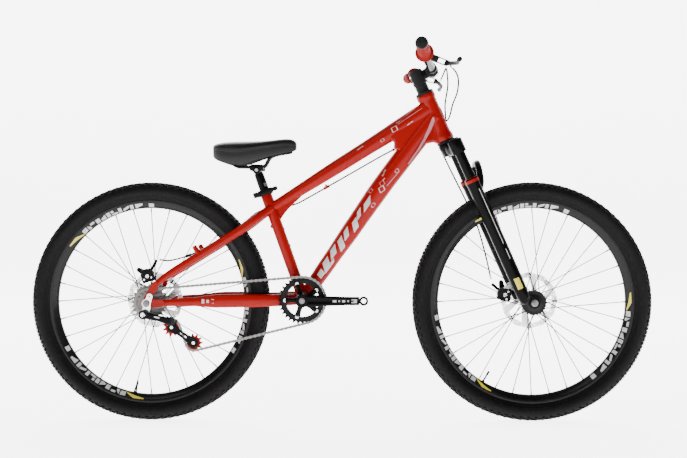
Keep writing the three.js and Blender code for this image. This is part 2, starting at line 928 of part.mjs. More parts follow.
function perch(side) {
  const pivot = leverPivot(side);
  const middle = onBar(side, perchReach);
  const neck = middle.clone().lerp(pivot, 0.46);
  const earTip = (distance) => alongLeverAxis(middle.clone().lerp(pivot, 1.1), distance);
  return cut(
    join(
      rod(onBar(side, perchReach - 9), onBar(side, perchReach + 9), barRadius + 5),
      beam(middle, neck, 16, 16),
      beam(
        alongLeverAxis(neck, -8 - gap),
        alongLeverAxis(neck, 8 + gap),
        20,
        18,
      ),
      beam(alongLeverAxis(neck, 7), earTip(7), 3, 13),
      beam(alongLeverAxis(neck, -7), earTip(-7), 3, 13),
      rod(
        point(neck.x + 2, side * (Math.abs(neck.y) - 4), neck.z),
        point(neck.x + 6, side * (Math.abs(neck.y) - 24), neck.z - 2),
        5,
        4,
        12,
      ),
    ),
    barSolid(gap),
  );
}
add("brake_perch_right", perch(right), "blackAlloy");
add("brake_perch_left", perch(left), "blackAlloy");

function brakeLever(side) {
  const pivot = leverPivot(side);
  const blade = (x, reach, z) => point(pivot.x + x, side * (190 + reach), pivot.z + z);
  return join(
    rod(alongLeverAxis(pivot, -5), alongLeverAxis(pivot, 5), 6.5, 6.5, 16),
    run(
      [
        [pivot, 5],
        [blade(12, 26, -4), 5],
        [blade(22, 70, -9), 4.6],
        [blade(19, 125, -9), 4.6],
        [blade(22, 134, -9), 6],
      ],
      1,
      6,
    ),
  );
}
add("brake_lever_right", brakeLever(right), "blackAlloy");
add("brake_lever_left", brakeLever(left), "blackAlloy");

// ---------- wheels ----------
const hubSides = 14;
const wheelSides = 32; // tyre and rim share them, so that their facets line up

function tyre(axle) {
  const half = tyreWidth / 2;
  const outside = [
    [beadRadius + gap, rimWidth / 2 - rimWall - 1],
    [beadRadius + 8, rimWidth / 2 - rimWall - 0.8],
    [beadRadius + 19, half - 1.5],
    [tyreRadius - 22, half],
    [tyreRadius, 8],
  ];
  // The bead is thick, so the inside keeps clear of the notch over the rim's edge.
  const inside = [
    [tyreRadius - tyreWall - 2, 6],
    [tyreRadius - 23, half - tyreWall],
    [beadRadius + 24.5, half - 1 - tyreWall],
    [beadRadius + gap, rimWidth / 2 - rimWall - 9],
  ];
  const mirrored = (pairs) => pairs.map(([radius, y]) => [radius, -y]).reverse();
  const loop = [...outside, ...mirrored(outside), ...mirrored(inside), ...inside];
  return turned(loop, axle, wheelSides);
}

function rim(axle) {
  const half = rimWidth / 2;
  return turned(
    [
      [rimInner, -4],
      [beadRadius - 5, -half],
      [beadRadius + 6.5, -half],
      [beadRadius + 6.5, -half + rimWall],
      [beadRadius, -half + rimWall],
      [rimInner + 2.5, -3],
      [rimInner + 2.5, 3],
      [beadRadius, half - rimWall],
      [beadRadius + 6.5, half - rimWall],
      [beadRadius + 6.5, half],
      [beadRadius - 5, half],
      [rimInner, 4],
    ],
    axle,
    wheelSides,
  );
}

const valveRadius = 3;
function valveRod(axle, angle, from, to, radius) {
  const out = point(Math.cos(turns(angle)), 0, Math.sin(turns(angle)));
  return rod(
    axle.clone().addScaledVector(out, from),
    axle.clone().addScaledVector(out, to),
    radius,
    radius,
    10,
  );
}

function innerTube(axle, angle) {
  const middle = (beadRadius + tyreRadius) / 2 + 3;
  const bladderRadius = 17;
  const sides = Math.round(tyreRadius / 24);
  const section = (radius) =>
    Array.from({ length: 6 }, (_, i) => [
      middle + radius * Math.cos((i * Math.PI) / 3),
      radius * Math.sin((i * Math.PI) / 3),
    ]);
  return cut(
    join(
      turned(section(bladderRadius), axle, sides),
      valveRod(axle, angle, rimInner - 34, middle - bladderRadius + 3, valveRadius),
    ),
    turned(section(bladderRadius - 1.2), axle, sides),
    valveRod(axle, angle, rimInner - 40, middle, 1.2),
  );
}

// Spokes cross three others on their way from a flange to the rim.
function spokes(axle, flangeLeft, flangeRight, flangeRadius) {
  const perFlange = spokeCount / 2;
  const step = 360 / spokeCount;
  return Array.from({ length: spokeCount }, (_, i) => {
    const side = i % 2 ? left : right;
    const lean = Math.floor(i / 2) % 2 ? 1 : -1;
    const rimAngle = i * step;
    const hubAngle = rimAngle + lean * 3 * (360 / perFlange);
    const place = (radius, angle, y) =>
      point(
        axle.x + radius * Math.cos(turns(angle)),
        y,
        axle.z + radius * Math.sin(turns(angle)),
      );
    const flange = side === left ? flangeLeft : flangeRight;
    return rod(
      place(flangeRadius - 3, hubAngle, flange + lean * 1.2),
      place(rimInner - gap - 0.5, rimAngle, side * 2 + lean * 1.1),
      spokeRadius,
      spokeRadius,
      3,
    );
  });
}

function hub(axle, hubSize) {
  const { flangeLeft, flangeRight, flangeRadius, rotorFace, rightEnd, rightRadius } = hubSize;
  const bore = axleRadius + gap;
  const shell = turned(
    [
      [bore, rotorFace],
      [21, rotorFace],
      [21, rotorFace - 5],
      [15, flangeLeft + 3],
      [flangeRadius, flangeLeft + 2],
      [flangeRadius, flangeLeft - 2],
      [15, flangeLeft - 4],
      [13, 0],
      [15, flangeRight + 4],
      [flangeRadius, flangeRight + 2],
      [flangeRadius, flangeRight - 2],
      [rightRadius, flangeRight - 4],
      [rightRadius, rightEnd],
      [bore, rightEnd],
    ],
    axle,
    hubSides,
  );
  return join(shell, ...spokes(axle, flangeLeft, flangeRight, flangeRadius));
}

const boltCircle = 17;
function rotor(axle, middle) {
  const waves = 12;
  const wavy = (radius, depth, count) =>
    Array.from({ length: count }, (_, i) => {
      const angle = (i * 2 * Math.PI) / count;
      const reach = radius - depth * (0.5 - 0.5 * Math.cos(waves * angle));
      return [axle.x + reach * Math.cos(angle), axle.z + reach * Math.sin(angle)];
    });
  const low = middle - rotorThickness / 2;
  const high = middle + rotorThickness / 2;
  const track = cut(
    plate(outline(wavy(rotorRadius, 3, 24)), low, high),
    plate(outline(wavy(rotorRadius - 13, 3, 24)), low - 1, high + 1),
  );
  const arms = Array.from({ length: 6 }, (_, i) => {
    const start = turns(i * 60);
    const end = turns(i * 60 + 28);
    const reach = (radius, angle) =>
      point(axle.x + radius * Math.cos(angle), middle, axle.z + radius * Math.sin(angle));
    return beam(
      reach(20, start),
      reach(rotorRadius - 12, end),
      7,
      rotorThickness,
    );
  });
  const centre = cut(
    disc(axle, boltCircle + 7, low, high),
    disc(axle, 10, low - 1, high + 1),
  );
  return join(track, centre, ...arms);
}

const frontRotorY = 39.6;
const rearRotorY = 52.2;
const frontHub = {
  flangeLeft: 25,
  flangeRight: -35,
  flangeRadius: 22,
  rotorFace: frontRotorY - rotorThickness / 2 - gap,
  rightEnd: -forkPlateInner + 6,
  rightRadius: 9,
};
const freewheelStart = -29;
const rearHub = {
  flangeLeft: 32,
  flangeRight: -20,
  flangeRadius: 25,
  rotorFace: rearRotorY - rotorThickness / 2 - gap,
  rightEnd: -60,
  rightRadius: 16,
};
const frontValveAngle = 239;
const rearValveAngle = 260;

function addWheel(name, axle, hubSize, rotorY, valveAngle) {
  const valveHole = valveRod(axle, valveAngle, 200, 300, valveRadius + gap);
  add(name + "_tyre", tyre(axle), "rubber");
  add(name + "_inner_tube", innerTube(axle, valveAngle), "rubber");
  add(name + "_rim", cut(rim(axle), valveHole), "blackAlloy");
  add(name + "_hub", hub(axle, hubSize), "blackAlloy");
  add(name + "_rotor", rotor(axle, rotorY), "steel");
}
addWheel("front", frontAxle, frontHub, frontRotorY, frontValveAngle);
addWheel("rear", rearAxle, rearHub, rearRotorY, rearValveAngle);

// ---------- axles ----------
function nut(axle, from, to, radius = 9, sides = 6) {
  return disc(axle, radius, Math.min(from, to), Math.max(from, to), sides);
}
function axlePiece(axle, inner, outer, leftSpacer, rightSpacer) {
  const reach = outer + gap + 7;
  return join(
    disc(axle, axleRadius, -reach - 4, reach + 4),
    nut(axle, leftSpacer, inner - gap, 9, 10),
    nut(axle, -inner + gap, rightSpacer, 8, 10),
    nut(axle, outer + gap, reach),
    nut(axle, -outer - gap, -reach),
  );
}
const hangerThickness = 4.3;
const hangerInner = -dropoutOuter - gap;
const hangerOuter = hangerInner - hangerThickness;
add(
  "front_axle",
  axlePiece(
    frontAxle,
    forkPlateInner + gap,
    forkPlateOuter,
    frontRotorY + rotorThickness / 2 + gap,
    frontHub.rightEnd - gap,
  ),
  "steel",
);
add(
  "rear_axle",
  axlePiece(
    rearAxle,
    dropoutInner,
    -hangerOuter,
    rearRotorY + rotorThickness / 2 + gap,
    rearHub.rightEnd - gap,
  ),
  "steel",
);

// ---------- crankset ----------
const spindleRadius = 8.5;
add(
  "bottom_bracket_spindle",
  disc(bracket, spindleRadius, -crankFace + 3, crankFace - 3, 20),
  "steel",
);
const cartridgeEnd = shellWidth / 2 + 4;
add(
  "bottom_bracket_cartridge",
  turned(
    [
      [spindleRadius + gap, -cartridgeEnd],
      [shellRadius - 1, -cartridgeEnd],
      [shellRadius - 1, -shellWidth / 2 - gap],
      [shellBore - gap, -shellWidth / 2 - gap],
      [shellBore - gap, shellWidth / 2 + gap],
      [shellRadius - 1, shellWidth / 2 + gap],
      [shellRadius - 1, cartridgeEnd],
      [spindleRadius + gap, cartridgeEnd],
    ],
    bracket,
    16,
  ),
  "steel",
);

const chainringPitchRadius = chainPitch / 2 / Math.sin(Math.PI / chainringTeeth);
const armInner = crankFace - crankThickness;
const pedalHoleRadius = 7;

function crankArm(side) {
  const pedal = point(bracket.x - side * crankLength, 0, bracket.z);
  const low = Math.min(side * armInner, side * crankFace);
  const high = Math.max(side * armInner, side * crankFace);
  const reach = -side;
  const arm = plate(
    outline([
      [bracket.x, bracket.z + 16.5],
      [bracket.x, bracket.z - 16.5],
      [pedal.x, pedal.z - 12.5],
      [pedal.x, pedal.z + 12.5],
    ]),
    low,
    high,
  );
  return cut(
    join(
      arm,
      disc(bracket, 17.5, low, high),
      disc(pedal, 13, low, high),
      disc(point(pedal.x - reach * 12, 0, pedal.z), 12.8, low, high),
    ),
    disc(bracket, spindleRadius + gap, -crankFace + 3 - gap, crankFace - 3 + gap),
    disc(pedal, pedalHoleRadius, -100, 100, 20),
  );
}

const chainringBoltCircle = 48;
const ringHalf = 1.7;
const spiderInner = chainline - ringHalf - gap;
const spiderAngles = [180, 252, 324, 36, 108];
const spiderPlace = (radius, angle) =>
  point(
    bracket.x + radius * Math.cos(turns(angle)),
    0,
    bracket.z + radius * Math.sin(turns(angle)),
  );
const spiderArm = (angle) => {
  const tip = spiderPlace(chainringBoltCircle, angle);
  const tipY = sideways(tip, spiderInner - 3);
  return join(
    beam(sideways(bracket, spiderInner - 7), tipY, 13, 6),
    disc(tip, 7, spiderInner - 6, spiderInner, 10),
    disc(tip, 4, spiderInner - 1, chainline + ringHalf + 2, 8),
  );
};
add(
  "crank_arm_right",
  cut(
    join(
      crankArm(right),
      disc(bracket, 19, -armInner - 1, spiderInner - 2),
      ...spiderAngles.map(spiderArm),
    ),
    disc(bracket, spindleRadius + gap, -crankFace + 3 - gap, crankFace),
  ),
  "blackPaint",
);
add("crank_arm_left", crankArm(left), "blackPaint");

// A sprocket's outline: teeth with flat tips on a round root.
function toothed(centre, teeth, depth = 4.4, height = 3.2) {
  const pitchRadius = chainPitch / 2 / Math.sin(Math.PI / teeth);
  const root = pitchRadius - depth;
  const tip = pitchRadius + height;
  const step = (2 * Math.PI) / teeth;
  const corners = [
    [root, -0.2],
    [tip, 0],
    [root, 0.2],
  ];
  const pairs = [];
  for (let i = 0; i < teeth; i += 1) {
    for (const [radius, share] of corners) {
      const angle = (i + share) * step;
      pairs.push([centre.x + radius * Math.cos(angle), centre.z + radius * Math.sin(angle)]);
    }
  }
  return outline(pairs);
}

const toothHalf = 1;
const chainHalf = 4;
const ringBodyOuter = chainringPitchRadius - chainHalf - 0.8;
add(
  "chainring",
  cut(
    join(
      plate(toothed(bracket, chainringTeeth), chainline - toothHalf, chainline + toothHalf),
      disc(bracket, ringBodyOuter, chainline - ringHalf, chainline + ringHalf, 24),
    ),
    cut(
      disc(bracket, ringBodyOuter - 7, chainline - 5, chainline + 5, 24),
      ...spiderAngles.map((angle) =>
        disc(spiderPlace(chainringBoltCircle + 1, angle), 7.5, chainline - 6, chainline + 6, 10),
      ),
    ),
    ...spiderAngles.map((angle) =>
      disc(spiderPlace(chainringBoltCircle, angle), 4 + gap, chainline - 6, chainline + 6, 8),
    ),
  ),
  "blackPaint",
);

const sprocketY = (i) => chainline + (i - sprocketTeeth.indexOf(sprocketInUse)) * sprocketSpacing;
const pitchRadiusOf = (teeth) => chainPitch / 2 / Math.sin(Math.PI / teeth);
// Only the sprocket that the chain is on has teeth: the others are plain discs of their size.
function sprocket(teeth, i) {
  const low = sprocketY(i) - toothHalf;
  const high = sprocketY(i) + toothHalf;
  if (teeth === sprocketInUse) return plate(toothed(rearAxle, teeth), low, high);
  return disc(rearAxle, pitchRadiusOf(teeth) + 2, low, high, 14);
}
const lastSprocket = sprocketTeeth.length - 1;
// The hub turns inside the freewheel, so its corners clear the bore's flats.
const freewheelBore = (rearHub.rightRadius + gap) / Math.cos(Math.PI / hubSides) + 0.1;
add(
  "freewheel",
  cut(
    join(
      disc(rearAxle, 22, sprocketY(0) - 1, sprocketY(lastSprocket) + 2),
      ...sprocketTeeth.map(sprocket),
    ),
    disc(rearAxle, freewheelBore, -80, freewheelStart + 20, hubSides),
  ),
  "steel",
);

// ---------- derailleur ----------
const hangerBolt = point(rearAxle.x - 5.9, 0, rearAxle.z - 30);
const guidePulley = point(rearAxle.x + 65.5, 0, rearAxle.z - 69);
const tensionPulley = point(rearAxle.x + 126.5, 0, rearAxle.z - 112);
const cagePivot = point(rearAxle.x + 69.5, 0, rearAxle.z - 53);
const cageHalf = 5.2;
const cagePlate = 2;
const pulleyBore = 2.6;
const pulleyPitchRadius = chainPitch / 2 / Math.sin(Math.PI / pulleyTeeth);

add(
  "derailleur_hanger",
  cut(
    join(
      disc(rearAxle, 12, hangerOuter, hangerInner),
      disc(hangerBolt, 11, hangerOuter, hangerInner),
      disc(point(rearAxle.x + 9, 0, rearAxle.z + 19), 8, hangerOuter, hangerInner),
      beam(
        sideways(hangerBolt, (hangerOuter + hangerInner) / 2),
        point(rearAxle.x + 9, (hangerOuter + hangerInner) / 2, rearAxle.z + 19),
        15,
        hangerThickness,
      ),
    ),
    disc(rearAxle, axleRadius + gap, -100, 0),
    disc(hangerBolt, 5 + gap, -100, 0, 16),
    disc(point(rearAxle.x + 9, 0, rearAxle.z + 19), 2.6, -100, 0, 12),
  ),
  "steel",
);

const knuckleOuter = hangerOuter - gap - 17;
const knuckleMiddle = (knuckleOuter + hangerOuter - gap) / 2;
const cageOuterFace = chainline - cageHalf - cagePlate;
const cageKnuckle = point(cagePivot.x - 4, 0, cagePivot.z + 2);
add(
  "rear_derailleur",
  join(
    disc(hangerBolt, 13, knuckleOuter, hangerOuter - gap),
    disc(hangerBolt, 5, knuckleOuter - 2, hangerInner + 1, 16),
    beam(sideways(hangerBolt, knuckleMiddle - 3), sideways(cageKnuckle, cageOuterFace - 9), 21, 12),
    disc(cageKnuckle, 13, cageOuterFace - 17, cageOuterFace - gap),
    disc(cagePivot, 4, cageOuterFace - 8, cageOuterFace + 1.5, 12),
  ),
  "blackPaint",
);

function cageSide(low, high) {
  const link = (from, to, width) =>
    beam(
      sideways(from, (low + high) / 2),
      sideways(to, (low + high) / 2),
      width,
      high - low,
    );
  return join(
    disc(guidePulley, 13, low, high, 14),
    disc(tensionPulley, 14, low, high, 14),
    link(guidePulley, tensionPulley, 15),
  );
}
const cageInside = chainline + cageHalf;
add(
  "derailleur_cage",
  cut(
    join(
      cageSide(cageOuterFace, chainline - cageHalf),
      cageSide(cageInside, cageInside + cagePlate),
      disc(cagePivot, 11, cageOuterFace, chainline - cageHalf, 20),
      disc(guidePulley, pulleyBore - gap, cageOuterFace, cageInside + cagePlate, 12),
      disc(tensionPulley, pulleyBore - gap, cageOuterFace, cageInside + cagePlate, 12),
    ),
    disc(cagePivot, 4 + gap, cageOuterFace - 1, chainline - cageHalf + 1, 12),
  ),
  "blackPaint",
);

function pulley(centre) {
  return cut(
    join(
      plate(toothed(centre, pulleyTeeth), chainline - toothHalf, chainline + toothHalf),
      disc(centre, 8, chainline - cageHalf + gap, chainline + cageHalf - gap),
    ),
    disc(centre, pulleyBore, chainline - 10, chainline + 10, 12),
  );
}
add("guide_pulley", pulley(guidePulley), "redPlastic");
add("tension_pulley", pulley(tensionPulley), "redPlastic");

// ---------- chain ----------
// The chain's loop passes round four toothed wheels; `turn` is 1 where it runs anticlockwise as
// seen from the drive side, and -1 where it runs clockwise.
const loopWheels = [
  { centre: bracket, radius: chainringPitchRadius, turn: 1 },
  { centre: rearAxle, radius: chainPitch / 2 / Math.sin(Math.PI / sprocketInUse), turn: 1 },
  { centre: guidePulley, radius: pulleyPitchRadius, turn: -1 },
  { centre: tensionPulley, radius: pulleyPitchRadius, turn: 1 },
];

function tangent(from, to) {
  const dx = to.centre.x - from.centre.x;
  const dz = to.centre.z - from.centre.z;
  const offset = from.turn * from.radius - to.turn * to.radius;
  const angle = Math.atan2(dz, dx) + Math.asin(offset / Math.hypot(dx, dz));
  const place = (wheel) => ({
    x: wheel.centre.x + wheel.turn * wheel.radius * Math.sin(angle),
    z: wheel.centre.z - wheel.turn * wheel.radius * Math.cos(angle),
  });
  return { start: place(from), end: place(to), angle };
}
const tangents = loopWheels.map((wheel, i) => tangent(wheel, loopWheels[(i + 1) % loopWheels.length]));

// The loop's outline, moved sideways by `offset` (outwards when it is above zero).
function chainOutline(offset) {
  const pairs = [];
  loopWheels.forEach((wheel, i) => {
    const arriving = tangents[(i + loopWheels.length - 1) % loopWheels.length];
    const leaving = tangents[i];
    const startAngle = arriving.angle - (wheel.turn * Math.PI) / 2;
    let sweep = leaving.angle - arriving.angle;
    while (sweep * wheel.turn < 0) sweep += wheel.turn * 2 * Math.PI;
    const radius = wheel.radius + wheel.turn * offset;
    const steps = Math.max(2, Math.ceil(Math.abs(sweep) / 0.45));
    for (let k = 0; k <= steps; k += 1) {
      const angle = startAngle + (sweep * k) / steps;
      pairs.push([
        wheel.centre.x + radius * Math.cos(angle),
        wheel.centre.z + radius * Math.sin(angle),
      ]);
    }
  });
  return outline(pairs);
}

const chainInner = 1.9;
const chainOuter = 3.4;
function chainBand(low, high) {
  return cut(
    plate(chainOutline(chainHalf), low, high),
    plate(chainOutline(-chainHalf), low - 1, high + 1),
  );
}
// Pins join the two bands along the straight upper and lower runs, clear of the teeth.
function chainPins() {
  return [tangents[0], tangents[3]].flatMap(({ start, end }) => {
    const length = Math.hypot(end.x - start.x, end.z - start.z);
    const clear = 24;
    const count = Math.floor((length - 2 * clear) / (8 * chainPitch));
    return Array.from({ length: count + 1 }, (_, k) => {
      const share = (clear + 8 * k * chainPitch) / length;
      const x = THREE.MathUtils.lerp(start.x, end.x, share);
      const z = THREE.MathUtils.lerp(start.z, end.z, share);
      return disc(point(x, 0, z), 1.8, chainline - chainInner - 0.5, chainline + chainInner + 0.5, 6);
    });
  });
}
add(
  "chain",
  join(
    chainBand(chainline - chainOuter, chainline - chainInner),
    chainBand(chainline + chainInner, chainline + chainOuter),
    ...chainPins(),
  ),
  "steel",
);

// ---------- disc brake calipers ----------
// A block that straddles a rotor, at an angle round its axle.
function caliperBlock(axle, angle, inner, outer, width, low, high) {
  const out = point(Math.cos(turns(angle)), 0, Math.sin(turns(angle)));
  const middle = (low + high) / 2;
  return beam(
    sideways(axle, middle).addScaledVector(out, inner),
    sideways(axle, middle).addScaledVector(out, outer),
    width,
    high - low,
  );
}
const rotorRoom = (axle, y) =>
  disc(axle, rotorRadius + 2, y - rotorThickness / 2 - 1, y + rotorThickness / 2 + 1, 48);

const frontCaliperAngle = 167;
const rearCaliperAngle = 108;
const caliperReach = 71;
const around = (axle, angle, reach, y) =>
  point(
    axle.x + reach * Math.cos(turns(angle)),
    y,
    axle.z + reach * Math.sin(turns(angle)),
  );
const frontCaliper = around(frontAxle, frontCaliperAngle, caliperReach, frontRotorY);
const rearCaliper = around(rearAxle, rearCaliperAngle, caliperReach, rearRotorY);
const frontCaliperFace = 62;
const rearCaliperFace = 70;
const frontCableStop = point(frontCaliper.x - 35, 66, frontCaliper.z + 30);
const rearCableStop = point(rearCaliper.x + 24, 64, rearCaliper.z + 46);

add(
  "front_brake_caliper",
  cut(
    join(
      caliperBlock(frontAxle, frontCaliperAngle, 54, 92, 34, 31, 56),
      disc(frontCaliper, 16, frontRotorY, frontCaliperFace),
      beam(sideways(frontCaliper, 51), sideways(frontCableStop, 55), 9, 8),
      beam(sideways(frontCableStop, 52), sideways(frontCableStop, 70), 9, 9),
      beam(
        point(frontCaliper.x, 50, frontCaliper.z),
        point(frontCaliper.x + 14, 50, frontCaliper.z + 34),
        12,
        12,
      ),
    ),
    rotorRoom(frontAxle, frontRotorY),
    legSolid(left, gap),
    rod(sideways(frontCableStop, 66), point(frontCableStop.x - 2, 66, frontCableStop.z + 30), 2.8),
  ),
  "blackPaint",
);
add(
  "rear_brake_caliper",
  cut(
    join(
      caliperBlock(rearAxle, rearCaliperAngle, 54, 92, 34, 44, 66),
      disc(rearCaliper, 16, rearRotorY, rearCaliperFace),
      beam(sideways(rearCaliper, 60), sideways(rearCableStop, 62), 9, 8),
      beam(sideways(rearCaliper, 62), point(seatstayFoot.x - 2, 62, seatstayFoot.z + 14), 10, 8),
    ),
    rotorRoom(rearAxle, rearRotorY),
    seatstay(left, gap),
    dropoutSolid(left, gap),
    rod(sideways(rearCableStop, 62), point(rearCableStop.x + 30, 62, rearCableStop.z + 2), 2.8),
  ),
  "blackPaint",
);

function caliperArm(pivot, face, angle, length) {
  const low = face + gap;
  const tip = around(pivot, angle, length, low + 3);
  return join(
    disc(pivot, 11, low, low + 6, 20),
    beam(sideways(pivot, low + 2.5), tip, 10, 5),
    disc(tip, 6, low, low + 6, 14),
  );
}
add("front_caliper_arm", caliperArm(frontCaliper, frontCaliperFace + 8, 100, 34), "blackPaint");
add("rear_caliper_arm", caliperArm(rearCaliper, rearCaliperFace, 150, 34), "blackPaint");

// ---------- brake cables ----------
add(
  "rear_brake_cable",
  cable([
    point(246, 33, 824),
    point(205, 35, 797),
    point(155, 33, 769),
    point(110, 29, 745),
    point(0, 25, 682),
    point(-99, 24, 626),
    point(-127, 24, 612),
    point(-160, 28, 603),
    point(-196, 34, 599),
    point(-240, 47, 588),
    point(-300, 56, 543),
    point(-413, 62, 475),
    point(-490, 66, 449),
    point(rearCableStop.x + 8, 62, rearCableStop.z + 1),
  ]),
  "rubber",
);
add(
  "rear_brake_cable_loop",
  cable([
    point(293, -164, 976),
    point(310, -140, 962),
    point(319, -115, 944),
    point(319, -80, 915),
    point(310, -45, 886),
    point(305, -12, 858),
    point(298, 20, 846),
    point(272, 33, 836),
    point(252, 33, 828),
  ]),
  "rubber",
);
add(
  "front_brake_cable",
  cable([
    point(293, 164, 978),
    point(301, 140, 998),
    point(305, 115, 1008),
    point(306, 88, 992),
    point(306, 66, 950),
    atHead(95, 46, 46),
    atHead(51, 38, 27),
    atHead(20, 42, 4),
    atHead(-10, 43, -16),
    atHead(-44, 43, -17),
    atHead(-82, 44, -16),
    atHead(-181, 48, -11),
    atHead(-257, 50, -10),
    atHead(-348, 57, -22),
    point(frontCableStop.x - 1, 66, frontCableStop.z + 12),
  ]),
  "rubber",
);

export default bicycle;
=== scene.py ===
"""Dirt-jump bicycle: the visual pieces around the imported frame. Metres, +X forward, +Y left, +Z up."""

import json
import math

import bmesh
import bpy
from mathutils import Matrix, Vector


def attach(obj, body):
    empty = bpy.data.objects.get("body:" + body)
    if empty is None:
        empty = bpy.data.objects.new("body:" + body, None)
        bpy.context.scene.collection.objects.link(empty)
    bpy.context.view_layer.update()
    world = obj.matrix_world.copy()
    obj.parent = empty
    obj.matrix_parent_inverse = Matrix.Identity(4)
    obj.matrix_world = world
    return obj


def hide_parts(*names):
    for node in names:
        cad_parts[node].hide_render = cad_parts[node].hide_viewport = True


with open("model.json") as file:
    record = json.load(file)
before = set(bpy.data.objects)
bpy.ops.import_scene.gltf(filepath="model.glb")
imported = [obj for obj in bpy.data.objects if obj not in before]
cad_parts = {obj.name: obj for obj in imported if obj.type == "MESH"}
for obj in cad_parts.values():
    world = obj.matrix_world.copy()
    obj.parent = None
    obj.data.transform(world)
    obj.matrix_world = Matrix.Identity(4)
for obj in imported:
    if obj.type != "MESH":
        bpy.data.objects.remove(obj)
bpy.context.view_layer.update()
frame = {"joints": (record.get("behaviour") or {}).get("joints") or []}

RIGHT, LEFT = -1, 1
X, Y, Z = Vector((1, 0, 0)), Vector((0, 1, 0)), Vector((0, 0, 1))

# ---------- camera ----------
CAMERA_DISTANCE = 2.9
CAMERA_YAW = math.radians(0.77)
CAMERA_PITCH = math.radians(0.92)
CAMERA_LENS = 53.83
CAMERA_TARGET = Vector((0.0070, 0, 0.5403))


def add_camera():
    data = bpy.data.cameras.new("camera")
    data.lens = CAMERA_LENS
    data.sensor_width = 36
    camera = bpy.data.objects.new("camera", data)
    bpy.context.scene.collection.objects.link(camera)
    look = Vector((
        -math.sin(CAMERA_YAW) * math.cos(CAMERA_PITCH),
        math.cos(CAMERA_YAW) * math.cos(CAMERA_PITCH),
        -math.sin(CAMERA_PITCH),
    ))
    camera.location = CAMERA_TARGET - look * CAMERA_DISTANCE
    camera.rotation_euler = look.to_track_quat("-Z", "Y").to_euler()
    bpy.context.scene.camera = camera


# ---------- places, from the frame's joints --------------------
joints = {joint["name"]: joint for joint in frame["joints"]}


def joint_place(name):
    return Vector(joints[name]["pos_m"])


def joint_axis(name):
    return Vector(joints[name]["axis"]).normalized()


FRONT_AXLE = joint_place("front_wheel_spin")
REAR_AXLE = joint_place("rear_wheel_spin")
BRACKET = joint_place("crank_spin")
HEAD_BOTTOM = joint_place("steering")
HEAD_UP = joint_axis("steering")
HEAD_FORWARD = Vector((HEAD_UP.z, 0, -HEAD_UP.x))
SEAT_UP = joint_axis("seatpost_height")
SADDLE_PIVOT = joint_place("saddle_tilt")
TYRE_RADIUS = FRONT_AXLE.z
HEAD_LENGTH = 0.140
SEAT_TUBE_LENGTH = 0.326
SEAT_TOP = BRACKET + SEAT_UP * SEAT_TUBE_LENGTH
STANCHION_SPREAD = 0.062
STANCHION_OFFSET = 0.016
CROWN_TOP = -0.0086
CROWN_BOTTOM = CROWN_TOP - 0.042
LEG_TOP = CROWN_BOTTOM - 0.075
AXLE_UP = (FRONT_AXLE - HEAD_BOTTOM).dot(HEAD_UP)
CHAINLINE = -0.047
CHAIN_PITCH = 0.0127


def at_head(up, side=0.0, forward=0.0):
    """A place given along the steering axis, sideways, and in front of it."""
    return HEAD_BOTTOM + HEAD_UP * up + HEAD_FORWARD * forward + Y * side


def around(centre, degrees, reach, y=None):
    """A place at an angle round a line across the bicycle; 0 is forward and 90 is up."""
    angle = math.radians(degrees)
    height = centre.y if y is None else y
    return Vector((centre.x + reach * math.cos(angle), height, centre.z + reach * math.sin(angle)))


def sideways(place, y):
    return Vector((place.x, y, place.z))


# ---------- shapes ----------
def axes_along(along, guide=None):
    """Two unit directions across `along`; the second stays near `guide`."""
    along = along.normalized()
    if guide is None:
        guide = Z if abs(along.y) > 0.9 else Y
    first = along.cross(guide).normalized()
    return first, first.cross(along)


